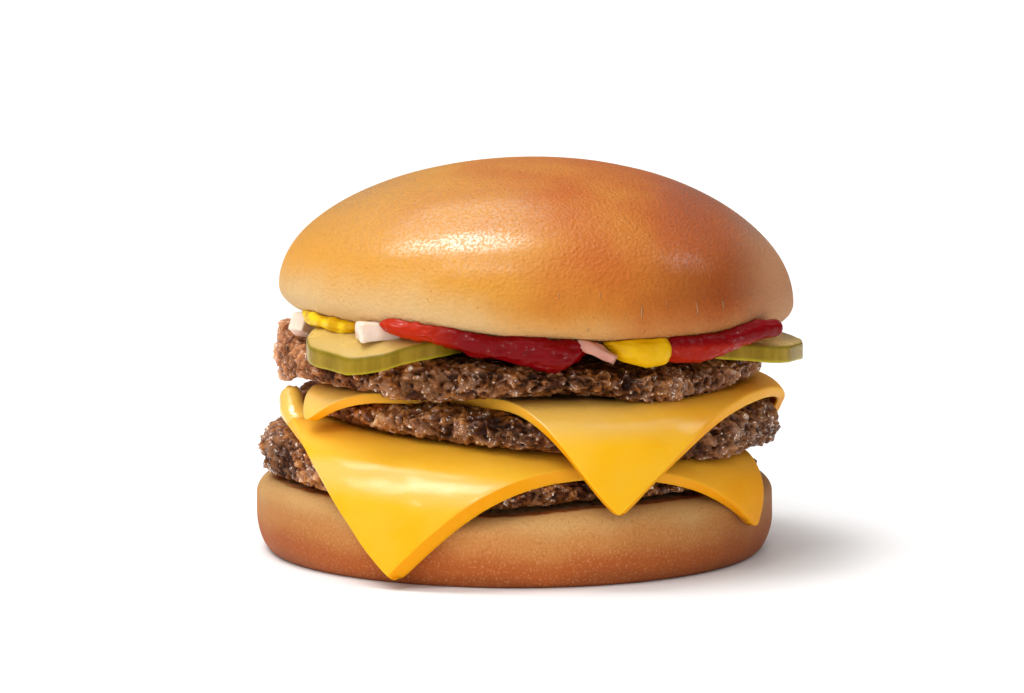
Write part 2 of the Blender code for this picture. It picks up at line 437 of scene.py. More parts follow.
class Value:
    """A number in a material's nodes; arithmetic on it adds Math nodes."""

    def __init__(self, recipe: Recipe, socket: NodeSocket) -> None:
        """Wraps the socket that the number comes from."""
        self.recipe = recipe
        self.socket = socket

    __add__ = arithmetic("ADD")
    __radd__ = arithmetic("ADD", True)
    __sub__ = arithmetic("SUBTRACT")
    __rsub__ = arithmetic("SUBTRACT", True)
    __mul__ = arithmetic("MULTIPLY")
    __rmul__ = arithmetic("MULTIPLY", True)
    __truediv__ = arithmetic("DIVIDE")
    __rtruediv__ = arithmetic("DIVIDE", True)

    def between(self, low: float, high: float) -> Value:
        """Eases from 0 to 1 as the number goes from low to high, which may be the lower of the two."""
        flip = low > high
        start, end = (high, low) if flip else (low, high)
        made = self.recipe.node("ShaderNodeMapRange", {"interpolation_type": "SMOOTHSTEP"},
                                {"Value": self, "From Min": start, "From Max": end})
        eased = Value(self.recipe, made.outputs["Result"])
        return 1.0 - eased if flip else eased

    def window(self, start: float, full: float, still: float, end: float) -> Value:
        """Eases from 0 at start to 1 at full, and from 1 at still back to 0 at end."""
        return self.between(start, full) * self.between(end, still)


Colour = NodeSocket | Tone


class Nodes:
    """The nodes of a material or of the world."""

    def __init__(self, owner: Material | World) -> None:
        """Clears the owner's nodes."""
        owner.use_nodes = True
        self.tree = owner.node_tree
        self.tree.nodes.clear()

    def node(self, kind: str, settings: dict[str, object] | None = None,
             inputs: dict[str | int, object] | None = None) -> Node:
        """Adds a node.

        Args:
            kind: the node's type.
            settings: its properties, set first; "stops" holds a ramp's (place, tone) pairs.
            inputs: for each socket a number, a tone, a Value or a socket to link.

        Returns:
            The node.
        """
        made = self.tree.nodes.new(kind)
        for key, value in (settings or {}).items():
            if key == "stops":
                while len(made.color_ramp.elements) < len(value):
                    made.color_ramp.elements.new(0.5)
                for element, (place, tone) in zip(made.color_ramp.elements, value):
                    element.position = place
                    element.color = tone.linear()
            else:
                setattr(made, key, value)
        for key, value in (inputs or {}).items():
            socket = made.inputs[key]
            if isinstance(value, Value):
                value = value.socket
            if isinstance(value, Tone):
                value = value.linear()
            if isinstance(value, NodeSocket):
                self.tree.links.new(value, socket)
            else:
                socket.default_value = value
        return made


class Recipe(Nodes):
    """One material's nodes."""

    def __init__(self, name: str) -> None:
        """Starts an empty material of that name."""
        self.material = bpy.data.materials.new(name)
        super().__init__(self.material)

    def maths(self, operation: str, first: Value | float, second: Value | float) -> Value:
        """A Math node's result."""
        made = self.node("ShaderNodeMath", {"operation": operation}, {0: first, 1: second})
        return Value(self, made.outputs[0])

    def place(self, centre: Triple = (0.0, 0.0, 0.0),
              stretch: Triple = (1.0, 1.0, 1.0)) -> NodeSocket:
        """Object coordinates in millimetres.

        Args:
            centre: the point that they are counted from.
            stretch: how many times longer a pattern gets each way.

        Returns:
            A vector socket.
        """
        coordinates = self.node("ShaderNodeTexCoord")
        scale = [1.0 / (MM * s) for s in stretch]
        shift = [-c / s for c, s in zip(centre, stretch)]
        mapping = self.node("ShaderNodeMapping", None, {"Vector": coordinates.outputs["Object"],
                                                        "Location": shift, "Scale": scale})
        return mapping.outputs["Vector"]

    def axes(self, vector: NodeSocket) -> tuple[Value, Value, Value]:
        """The three numbers of a vector."""
        made = self.node("ShaderNodeSeparateXYZ", None, {"Vector": vector})
        return tuple(Value(self, output) for output in made.outputs)

    def mark(self, name: str) -> Value:
        """A number stored at the piece's vertices."""
        made = self.node("ShaderNodeAttribute", {"attribute_name": name})
        return Value(self, made.outputs["Fac"])

    def noise(self, vector: NodeSocket, size: float, detail: float = 2.0,
              roughness: float = 0.5, distortion: float = 0.0) -> Value:
        """Cloudy noise.

        Args:
            vector: where, in millimetres.
            size: distance between its blotches.
            detail: how many finer layers it has.
            roughness: how strong those are.
            distortion: how much it is stirred.

        Returns:
            About 0 to 1, around 0.5.
        """
        made = self.node("ShaderNodeTexNoise", None, {
            "Vector": vector, "Scale": 1.0 / size, "Detail": detail, "Roughness": roughness,
            "Distortion": distortion})
        return Value(self, made.outputs[0])

    def cells(self, vector: NodeSocket, size: float) -> Value:
        """Distance to the nearest of scattered points, as a share of their usual distance."""
        made = self.node("ShaderNodeTexVoronoi", None, {"Vector": vector, "Scale": 1.0 / size})
        return Value(self, made.outputs["Distance"])

    def mix(self, share: Value | float, first: Colour, second: Colour) -> NodeSocket:
        """A blend of two colours.

        Args:
            share: how much of the second.
            first: a tone or a colour socket.
            second: the same.

        Returns:
            A colour socket.
        """
        made = self.node("ShaderNodeMix", {"data_type": "RGBA", "clamp_factor": True},
                         {0: share, 6: first, 7: second})
        return made.outputs[2]

    def coated(self, colour: Colour, *coats: tuple[Value, Colour]) -> NodeSocket:
        """A colour with others laid over it.

        Args:
            colour: the lowest one.
            *coats: how much of each further one shows, and that one.

        Returns:
            A colour socket.
        """
        for share, coat in coats:
            colour = self.mix(share, colour, coat)
        return colour

    def ramp(self, value: Value, stops: Sequence[tuple[float, Tone]]) -> NodeSocket:
        """A colour for each number from 0 to 1."""
        made = self.node("ShaderNodeValToRGB", {"stops": stops}, {"Fac": value})
        return made.outputs["Color"]

    def shaded(self, colour: NodeSocket, value: Value) -> NodeSocket:
        """A colour made darker or lighter by a number round 1."""
        made = self.node("ShaderNodeVectorMath", {"operation": "SCALE"}, {0: colour, 3: value})
        return made.outputs[0]

    def bent(self, *bumps: tuple[Value, float, float]) -> NodeSocket:
        """A normal bent by one height after another.

        Args:
            *bumps: a height as a share of its depth, the millimetres between height 0 and height 1,
                and how much of it shows.

        Returns:
            A normal socket.
        """
        under: dict[str | int, object] = {}
        for height, depth, strength in bumps:
            inputs = {"Height": height, "Distance": depth * MM, "Strength": strength, **under}
            under["Normal"] = self.node("ShaderNodeBump", None, inputs).outputs["Normal"]
        return under["Normal"]

    def surface(self, **inputs: object) -> Material:
        """Ends the material in a Principled shader.

        Args:
            **inputs: its sockets' values or links, with _ for a space.

        Returns:
            The material.
        """
        named = {key.replace("_", " "): value for key, value in inputs.items()}
        shader = self.node("ShaderNodeBsdfPrincipled", None, named)
        self.node("ShaderNodeOutputMaterial", None, {"Surface": shader.outputs[0]})
        return self.material


# ---------------------------------------------------------------- finishes


@dataclass(frozen=True)
class CrownCrust:
    """Glossy baked crust: brown on top, pale and wrinkled along the lower edge."""

    centre: Triple
    pale: Tone = Tone(224, 186, 130)
    shade: Tone = Tone(198, 144, 86)
    gold: Tone = Tone(222, 154, 56)
    brown: Tone = Tone(192, 90, 22)
    dark: Tone = Tone(170, 80, 22)
    far_edge: Tone = Tone(208, 160, 116)
    crumb: Tone = Tone(226, 190, 138)
    pore: Tone = Tone(196, 148, 92)
    ridge: Tone = Tone(244, 206, 156)
    pinhole: Tone = Tone(120, 60, 24)

    def make(self) -> Material:
        """The material."""
        recipe = Recipe("crown_crust")
        place = recipe.place(self.centre)
        side, _, height = recipe.axes(place)
        streaks = recipe.noise(recipe.place(self.centre, (1.0, 1.0, 5.0)), 1.6, 3.0, 0.6)
        blotches = recipe.noise(place, 16.0)
        wander = (blotches - 0.5) * 8.0 + (streaks - 0.5) * 2.0
        # Baked down to an uneven line, which lies lower from the middle to the right.
        baked = (height + wander + side.between(-26.0, 6.0) * 6.4).between(2.5, 14.0)
        # Browner towards the top as baked, and darker towards the right, partly browner crust and partly
        # painted shade.
        deep = (side * 0.016 + height * 0.012 + (blotches - 0.5) * 0.9).between(-0.25, 0.85)
        darkest = (side * 0.02 + (blotches - 0.5)).between(0.35, 1.15)
        # The pale lower band turns to the shade tone towards the right: painted shade.
        colour = recipe.mix(baked, recipe.mix(side.between(-18.0, 30.0), self.pale, self.shade),
                            recipe.coated(self.gold, (deep, self.brown), (darkest, self.dark)))
        grain = recipe.noise(place, 0.9, 4.0, 0.65)
        # Random grain, darkened towards the right as painted shade.
        colour = recipe.shaded(colour, 0.88 + grain * 0.2 - side.between(2.0, 46.0) * 0.13)
        # Painted rim light: a paler tone along the far right edge.
        colour = recipe.mix(side.between(34.0, 46.0) * 0.55, colour, self.far_edge)
        shadow = side.window(14.0, 30.0, 38.0, 46.0) * height.window(4.0, 8.0, 12.0, 18.0)
        colour = recipe.shaded(colour, 1.0 - shadow * 0.22)
        # Crumb on the cut face, and fine upright ridges, warts and pinholes in the crust.
        under = recipe.mark("cut")
        crumb = recipe.mix(recipe.cells(place, 1.6).between(0.1, 0.6), self.pore, self.crumb)
        stir = recipe.node("ShaderNodeCombineXYZ", None, {0: recipe.noise(place, 2.2) * 0.7})
        stirred = recipe.node("ShaderNodeVectorMath", {"operation": "ADD"},
                              {0: recipe.place(self.centre, (1.0, 1.0, 7.0)), 1: stir.outputs[0]})
        ridges = recipe.cells(stirred.outputs[0], 1.7).between(0.17, 0.07)
        ridges = ridges * (1.0 - height.between(3.0, 15.0)) * side.between(-20.0, 0.0)
        warts = recipe.cells(place, 2.3).between(0.13, 0.04) * recipe.noise(place, 6.0).between(0.45, 0.6)
        pinholes = recipe.cells(recipe.place((3.0, 5.0, 7.0)), 2.9).between(0.075, 0.03) * 0.5
        colour = recipe.coated(colour, (under, crumb), (ridges * 0.3, self.ridge), (pinholes, self.pinhole))
        crackle = recipe.cells(place, 0.7) * 0.7 + recipe.noise(place, 0.6, 3.0, 0.65)
        normal = recipe.bent((recipe.noise(place, 3.0), 0.22, 0.9), (crackle, 0.26, 1.0),
                             (ridges, 0.4, 1.0), (warts, 0.12, 1.0))
        # Dry along the lower edge, glazed above it.
        dry = 1.0 - (height + wander * 0.4).between(10.0, 18.0)
        facets = recipe.noise(place, 0.5, 2.0, 0.6).between(0.44, 0.58)
        glazed = (1.0 - dry) * height.between(31.0, 24.0) * side.between(-46.0, -32.0)
        glazed = glazed * (1.0 - side.window(-6.0, 6.0, 18.0, 26.0) * 0.8)
        return recipe.surface(
            Base_Color=colour, Normal=normal, Specular_IOR_Level=0.2,
            Roughness=0.30 + (grain - 0.5) * 0.2 + under * 0.4 + dry * 0.34,
            Subsurface_Weight=0.08, Subsurface_Radius=(1.0, 0.45, 0.2),
            Subsurface_Scale=0.0015, Coat_IOR=1.75, Coat_Roughness=0.2,
            Coat_Weight=glazed * (0.2 + facets * 0.8))


@dataclass(frozen=True)
class HeelCrust:
    """Dry speckled crust, pale at the cut face and red-brown at the foot."""

    height: float
    radius: float
    pale: Tone = Tone(214, 164, 100)
    tan: Tone = Tone(208, 138, 72)
    brown: Tone = Tone(188, 98, 42)
    foot: Tone = Tone(166, 88, 40)
    light_speck: Tone = Tone(238, 186, 134)
    dark_speck: Tone = Tone(146, 72, 34)
    flour: Tone = Tone(244, 204, 158)
    far_edge: Tone = Tone(156, 84, 36)
    crumb: Tone = Tone(228, 190, 136)
    pore: Tone = Tone(176, 120, 68)
    toast: Tone = Tone(168, 92, 40)

    def make(self) -> Material:
        """The material."""
        recipe = Recipe("heel_crust")
        place = recipe.place()
        side, depth, height = recipe.axes(place)
        blotches = recipe.noise(place, 13.0)
        level = height / self.height + (blotches - 0.5) * 0.45
        speck = recipe.noise(place, 0.44, 1.0)
        dots = recipe.cells(place, 1.15).between(0.16, 0.07) * recipe.noise(place, 2.6).between(0.44, 0.56)
        colour = recipe.coated(
            self.brown, (level.between(0.28, 0.62), self.tan), (level.between(0.60, 0.92), self.pale),
            (level.between(0.26, 0.02), self.foot), (speck.between(0.52, 0.76) * 0.28, self.light_speck),
            (speck.between(0.46, 0.26) * 0.24, self.dark_speck), (dots * 0.06, self.flour))
        # Painted shade: darker towards the right and the far left, with a darker tone along the far right
        # edge.
        dim = side.between(10.0, 52.0) * 0.32 + side.between(-10.0, -50.0) * 0.16
        colour = recipe.mix(side.between(36.0, 52.0) * 0.55, recipe.shaded(colour, 0.95 - dim), self.far_edge)
        # Crumb on the cut face, toasted towards its rim.
        out = recipe.node("ShaderNodeCombineXYZ", None, {0: side, 1: depth})
        reach = recipe.node("ShaderNodeVectorMath", {"operation": "LENGTH"}, {0: out.outputs[0]})
        rim = Value(recipe, reach.outputs["Value"]) / self.radius + (blotches - 0.5) * 0.1
        crumb = recipe.coated(self.pore, (recipe.cells(place, 1.7).between(0.08, 0.6), self.crumb),
                              (rim.between(0.80, 0.93), self.toast))
        return recipe.surface(
            Base_Color=recipe.mix(recipe.mark("cut"), colour, crumb),
            Roughness=0.62 + (speck - 0.5) * 0.3, Specular_IOR_Level=0.15,
            Normal=recipe.bent((recipe.noise(place, 0.6, 4.0, 0.7), 0.22, 0.75)),
            Subsurface_Weight=0.06, Subsurface_Radius=(1.0, 0.45, 0.2),
            Subsurface_Scale=0.0012)


@dataclass(frozen=True)
class SearedBeef:
    """Coarse ground beef: painted shade in its hollows, warm brown lumps, wet with fat, painted glints."""

    name: str
    paleness: float
    hollow: Tone = Tone(40, 15, 2)
    sear: Tone = Tone(114, 62, 22)
    lump: Tone = Tone(180, 114, 54)
    fat: Tone = Tone(240, 194, 138)
    grey_hollow: Tone = Tone(92, 48, 26)
    grey_sear: Tone = Tone(190, 126, 82)
    grey_lump: Tone = Tone(234, 186, 144)
    light_bit: Tone = Tone(160, 108, 68)
    dark_bit: Tone = Tone(66, 28, 14)
    fleck: Tone = Tone(255, 238, 220)

    def make(self) -> Material:
        """The material."""
        recipe = Recipe(self.name)
        place = recipe.place()
        side, _, _ = recipe.axes(place)
        relief, tint = recipe.mark("relief"), recipe.mark("tint")
        blotches = recipe.noise(place, 6.0, 3.0, 0.6)
        fine = recipe.noise(place, 0.9, 4.0, 0.7)
        # The colour follows the relief: painted shade in the hollows and painted light on the crests, whose
        # palest tone also stands for fat.
        tone = relief - 0.17 + (fine - 0.5) * 0.85 + (blotches - 0.5) * 0.6
        seared = recipe.ramp(tone, ((0.08, self.hollow), (0.36, self.sear), (0.66, self.lump),
                                    (1.0, self.fat)))
        grey = recipe.ramp(tone, ((0.1, self.grey_hollow), (0.42, self.grey_sear), (0.9, self.grey_lump)))
        colour = recipe.coated(seared, (tint.between(0.62, 0.85) * 0.55, self.light_bit),
                               (tint.between(0.42, 0.25) * 0.5, self.dark_bit),
                               (recipe.mark("grey") * self.paleness, grey))
        # Painted light and shade: lighter towards the left, darker towards the right, and darker at the far
        # left on the less pale patties.
        dim = side.between(-38.0, -10.0) * 0.54 + side.between(10.0, 50.0) * 0.26
        dim = dim + side.between(-34.0, -46.0) * 0.6 * (1.0 - self.paleness)
        # Wet with fat in patches, with painted glints on the lumps there.
        wet = recipe.noise(place, 2.2, 3.0, 0.65)
        flecks = recipe.noise(place, 0.75, 2.0, 0.6, 0.8).between(0.59, 0.67)
        flecks = flecks * (relief + wet - 0.5).between(0.42, 0.68)
        colour = recipe.mix(flecks * 0.85, recipe.shaded(colour, 1.42 - dim), self.fleck)
        return recipe.surface(
            Base_Color=colour, Roughness=0.22 + wet.between(0.58, 0.42) * 0.3,
            Normal=recipe.bent((recipe.noise(place, 0.6, 3.0, 0.6), 0.2, 1.0)),
            Specular_IOR_Level=0.12, Subsurface_Weight=0.05,
            Subsurface_Radius=(1.0, 0.4, 0.25), Subsurface_Scale=0.001,
            Coat_Weight=wet.between(0.42, 0.54) * relief.between(0.40, 0.62),
            Coat_Roughness=0.05)


@dataclass(frozen=True)
class MeltedCheese:
    """Smooth warm processed cheese, a deeper orange at its cut edge and, as painted shade, away from the
    light.
    """

    name: str
    face: Tone = Tone(247, 188, 40)
    warm: Tone = Tone(247, 184, 14)
    edge: Tone = Tone(245, 163, 0)
    shade: Tone = Tone(240, 156, 0)
    flat: Tone = Tone(255, 184, 58)
    milk: Tone = Tone(255, 230, 160)

    def make(self) -> Material:
        """The material."""
        recipe = Recipe(self.name)
        place = recipe.place()
        side, _, _ = recipe.axes(place)
        edge = recipe.mark("edge")
        clouds = recipe.noise(place, 9.0)
        dimples = recipe.noise(place, 1.1, 3.0, 0.6)
        shine = (1.0 - edge) * (1.0 - recipe.mark("matte")) * side.between(44.0, 28.0)
        # Painted sheen: a paler milky tone where it shines, on its left half.
        milky = shine * side.between(34.0, 12.0) * (0.13 + clouds * 0.16)
        colour = recipe.coated(
            self.face, (clouds.between(0.35, 0.68), self.warm), (edge, self.edge),
            # Painted shade: the shade tone towards the right, away from the light.
            ((side + (clouds - 0.5) * 20.0).between(22.0, 50.0), self.shade),
            # Painted fill light: the flat tone where it lies flat near the patty, then the painted sheen.
            (recipe.mark("near") * 0.8, self.flat), (milky, self.milk))
        return recipe.surface(
            Base_Color=colour, Roughness=0.52 + (dimples - 0.5) * 0.14 - shine * 0.18,
            Normal=recipe.bent((dimples, 0.09, 0.8), (recipe.noise(place, 4.5), 0.4, 0.5)),
            Specular_IOR_Level=0.14, Subsurface_Weight=0.3,
            Subsurface_Radius=(1.0, 0.5, 0.08), Subsurface_Scale=0.0022,
            Coat_IOR=1.8, Coat_Roughness=0.18, Coat_Weight=shine * (0.45 + dimples * 0.8))


@dataclass(frozen=True)
class PickledCucumber:
    """Translucent olive flesh with a seedy middle inside a green skin."""

    name: str
    centre: Triple
    flesh: Tone = Tone(208, 174, 98)
    core: Tone = Tone(198, 160, 82)
    seed: Tone = Tone(226, 204, 150)
    skin: Tone = Tone(138, 110, 6)
    streak: Tone = Tone(180, 148, 40)
    lower_rim: Tone = Tone(182, 172, 24)
    upper_rim: Tone = Tone(104, 96, 6)

    def make(self) -> Material:
        """The material."""
        recipe = Recipe(self.name)
        place = recipe.place(self.centre)
        clouds = recipe.noise(place, 5.0, 3.0, 0.6)
        reach, skin, level = recipe.mark("reach"), recipe.mark("skin"), recipe.mark("level")
        colour = recipe.mix(reach.between(0.62, 0.3), self.flesh, self.core)
        colour = recipe.shaded(colour, 0.86 + clouds * 0.28)
        seeds = recipe.cells(recipe.place(self.centre, (1.0, 1.0, 0.5)), 3.0).between(0.26, 0.12)
        streaks = recipe.noise(recipe.place(self.centre, (1.0, 1.0, 6.0)), 3.2, 3.0, 0.6)
        green = recipe.coated(self.skin, (streaks.between(0.38, 0.66) * 0.6, self.streak),
                              (level.between(-0.5, -0.95) * 0.7, self.lower_rim),
                              (level.between(0.45, 0.95) * 0.5, self.upper_rim))
        colour = recipe.coated(colour, (seeds * reach.between(0.7, 0.5) * 0.6, self.seed), (skin, green))
        return recipe.surface(
            Base_Color=colour, Roughness=0.26 + (clouds - 0.5) * 0.2,
            Normal=recipe.bent((recipe.noise(place, 0.9, 3.0, 0.6), 0.12, 0.5)),
            Specular_IOR_Level=0.16, Subsurface_Weight=0.3,
            Subsurface_Radius=(1.0, 0.8, 0.2), Subsurface_Scale=0.0018,
            Coat_Weight=(1.0 - skin) * 0.12, Coat_Roughness=0.1)


@dataclass(frozen=True)
class RawOnion:
    """Moist pinkish white onion with faint layers."""

    name: str
    pale: Tone = Tone(248, 226, 208)
    blush: Tone = Tone(236, 192, 168)

    def make(self) -> Material:
        """The material."""
        recipe = Recipe(self.name)
        layers = recipe.noise(recipe.place(stretch=(1.6, 1.6, 1.0)), 2.2)
        return recipe.surface(
            Base_Color=recipe.mix(layers.between(0.4, 0.8) * 0.6, self.pale, self.blush),
            Normal=recipe.bent((recipe.noise(recipe.place(), 0.7), 0.1, 0.4)),
            Roughness=0.28 + (layers - 0.5) * 0.2, Subsurface_Weight=0.5,
            Subsurface_Radius=(1.0, 0.75, 0.6), Subsurface_Scale=0.0015)


@dataclass(frozen=True)
class Sauce:
    """A glossy sauce: mustard or ketchup."""

    name: str
    deep: Tone
    thin: Tone
    roughness: float
    scatter: float
    bleed: Triple
    graininess: float

    def make(self) -> Material:
        """The material."""
        recipe = Recipe(self.name)
        place = recipe.place()
        clouds = recipe.noise(place, 3.0, 3.0, 0.6)
        colour = recipe.mix(recipe.mark("thin"), self.deep, self.thin)
        return recipe.surface(
            Base_Color=recipe.shaded(colour, 0.85 + clouds * 0.3),
            Roughness=self.roughness + (clouds - 0.5) * 0.12, Specular_IOR_Level=0.12,
            Normal=recipe.bent((recipe.noise(place, 0.9, 4.0, 0.65), self.graininess, 0.8),
                               (recipe.noise(place, 2.4), self.graininess * 3.0, 0.6)),
            Subsurface_Weight=self.scatter, Subsurface_Radius=self.bleed,
            Subsurface_Scale=0.0015, Coat_Roughness=0.06,
            Coat_Weight=recipe.noise(place, 0.9, 2.0, 0.6).between(0.62, 0.68))


# ---------------------------------------------------------------- the stack's surfaces


@dataclass(frozen=True)
class Level:
    """A gently sloping surface: its height over the axis and its rise for each unit along +X."""

    height: float
    slope: float

    def at(self, x: Numbers | float) -> Numbers | float:
        """Its height at x."""
        return self.height + self.slope * x

    def raised(self, by: float) -> Level:
        """The same surface, higher."""
        return Level(self.height + by, self.slope)


GAP = 0.35  # between a layer and the next
HEEL_HEIGHT = 14.8
SLICE_THICKNESS = 2.0
SLICE_SPAN = 48.0  # half a slice's side, which turns distances from its border into shares
WELD = 0.0001  # vertices closer than this become one
OPEN_ABOVE = 99.0  # a height that stands for nothing overhead
PORE_REACH = 0.7  # how far a pore reaches, as a share of the distance between pores
# The lines near a slice's border, from outside inwards: each has its share of the border's slant,
# its further distance and its height as a share of half the thickness.
CUT_ABOVE: Cut = (
    (0.0, 0.0, -0.55), (0.28, 0.0, -0.2), (0.55, 0.0, 0.18), (0.8, 0.0, 0.55), (0.96, 0.02, 0.84),
    (1.0, 0.16, 0.96), (1.0, 0.5, 1.0), (1.0, 1.1, 1.0))
CUT_BELOW: Cut = (
    (0.0, 0.0, -0.55), (0.0, 0.1, -0.85), (0.0, 0.35, -1.0), (0.0, 0.7, -1.0), (0.0, 1.1, -1.0),
    (0.0, 1.6, -1.0), (0.0, 2.2, -1.0), (0.0, 3.0, -1.0))


def pitted(points: Points, size: float, depth: float, seed: int) -> Numbers:
    """How far the pores of a cut face sink in, as numbers of 0 or less."""
    return -depth * smooth_step(1.0 - grains(points, size, seed)[0] / PORE_REACH)


@dataclass(frozen=True)
class Crown:
    """The domed top of the bun, whose underside sags at the back and whose lower edge is wrinkled."""

    radius: float = 50.3
    shift: float = 4.1
    lip_reach: float = 7.0
    lip_height: float = 4.8
    fullness: float = 1.98
    sag: float = 3.0
    sag_from: float = -4.0
    sag_length: float = 46.0
    wrinkled: float = 9.0
    cut_face: Level = Level(45.4, -0.036)
    cut_below: float = -0.985
    top: Level = Level(76.5, -0.008)
    steps: int = 420

    def underside(self, x: Numbers, y: Numbers) -> Numbers:
        """Height of the cut face, which sinks at the back."""
        return self.cut_face.at(x) - self.sag * smooth_step((y - self.sag_from) / self.sag_length)

    def roof(self, x: Numbers, y: Numbers) -> Numbers:
        """Height of the crown's underside with its lip; far up outside it."""
        out = (np.hypot(x - self.shift, y) - self.radius + self.lip_reach) / self.lip_reach
        rise = self.lip_height * (1.0 - np.sqrt(1.0 - np.clip(out, 0.0, 1.0) ** 2))
        return np.where(out < 1.0, self.underside(x, y) + rise, OPEN_ABOVE)

    def build(self) -> Object:
        """Makes the crown.

        Returns:
            The dressed piece.
        """
        power = 2.0 / self.fullness
        inner = self.radius - self.lip_reach
        # Evenly spaced by angle over the dome, and more closely near its widest ring.
        turns = np.radians(np.concatenate([np.linspace(90.0, 12.0, 66), np.linspace(11.0, 0.0, 14)]))
        profile = [(self.radius * math.cos(t) ** power, math.sin(t) ** power) for t in turns[1:-1]]
        profile = [(0.0, 1.0)] + profile + arc((inner, 0.0), (self.lip_reach, 1.0), 0.0, -90.0, 26)
        profile += flat_run(inner, -1.0, np.linspace(0.97, 0.03, 24)) + [(0.0, -1.0)]
        obj = spun("crown_bread", profile, self.steps)
        flat = read_points(obj)
        x, y, level = flat[:, 0] + self.shift, flat[:, 1], flat[:, 2]
        ring = self.underside(x, y) + self.lip_height
        rise = np.where(level > 0.0, (self.top.at(x) - ring) * level, self.lip_height * level)
        write_points(obj, np.stack([x, y, ring + rise], axis=1))
        points = read_points(obj)
        inside = np.hypot(flat[:, 0], flat[:, 1]) / inner
        cut = (level < self.cut_below) * smooth_step((1.0 - inside) / 0.03 + 0.5)
        low = smooth_step((self.wrinkled - (points[:, 2] - ring)) / self.wrinkled) * (1.0 - cut)
        upright = points * np.array([1.0, 1.0, 0.12])
        wrinkle = -swell(upright, 2.2, 11) ** 2 * 0.22 * low
        uneven = 0.2 * swell(points, 24.0, 3) + 0.06 * swell(points, 7.0, 5) - 0.05
        push_out(obj, uneven + wrinkle + pitted(points, 2.4, 0.35, 21) * cut)
        write_mark(obj, "cut", cut)
        centre = (self.shift, 0.0, self.cut_face.height)
        return finish_piece(obj, CrownCrust(centre).make(), ("bun_crown",))


@dataclass(frozen=True)
class Heel:
    """The flat bottom of the bun, with rounded edges and a dip at the front of its top."""

    radius: float = 50.8
    height: float = HEEL_HEIGHT
    foot: Pair = (3.6, 7.9)
    shoulder: Pair = (4.2, 3.6)
    dip: float = 1.3
    dip_angle: float = -6.0
    dip_width: float = 28.0
    steps: int = 420

    def build(self) -> Object:
        """Makes the heel.

        Returns:
            The dressed piece.
        """
        (foot, rise), (shoulder, fall) = self.foot, self.shoulder
        edge, base = self.radius - shoulder, self.radius - foot
        profile = [(0.0, self.height)] + flat_run(edge, self.height, np.linspace(0.04, 0.98, 26))
        profile += arc((edge, self.height - fall), (shoulder, fall), 90.0, 0.0, 16)
        profile += [(self.radius, self.height - fall - drop) for drop in (1.0, 2.2)]
        profile += arc((base, rise), (foot, rise), 0.0, -90.0, 26)
        profile += flat_run(base, 0.0, (0.9, 0.6, 0.3)) + [(0.0, 0.0)]
        obj = spun("heel_bread", profile, self.steps)
        points, normals = read_points(obj), read_points(obj, "normal")
        reach = np.hypot(points[:, 0], points[:, 1])
        cut = (normals[:, 2] > 0.9) * smooth_step(edge + 1.4 - reach)
        above_foot = smooth_step(points[:, 2] / 2.0)
        uneven = (0.25 * swell(points, 19.0, 31) + 0.08 * swell(points, 5.0, 33) - 0.2) * above_foot
        points = points + normals * (uneven + pitted(points, 2.2, 0.4, 35) * cut)[:, None]
        angle, _ = polar(points[:, 0], points[:, 1])
        dip = self.dip * bell(angle, self.dip_angle, self.dip_width) * smooth_step((reach - 34.0) / 12.0)
        points[:, 2] -= dip * smooth_step((points[:, 2] - 7.0) / 7.0)
        write_points(obj, points)
        write_mark(obj, "cut", cut)
        return finish_piece(obj, HeelCrust(self.height, self.radius).make(), ("bun_heel",))


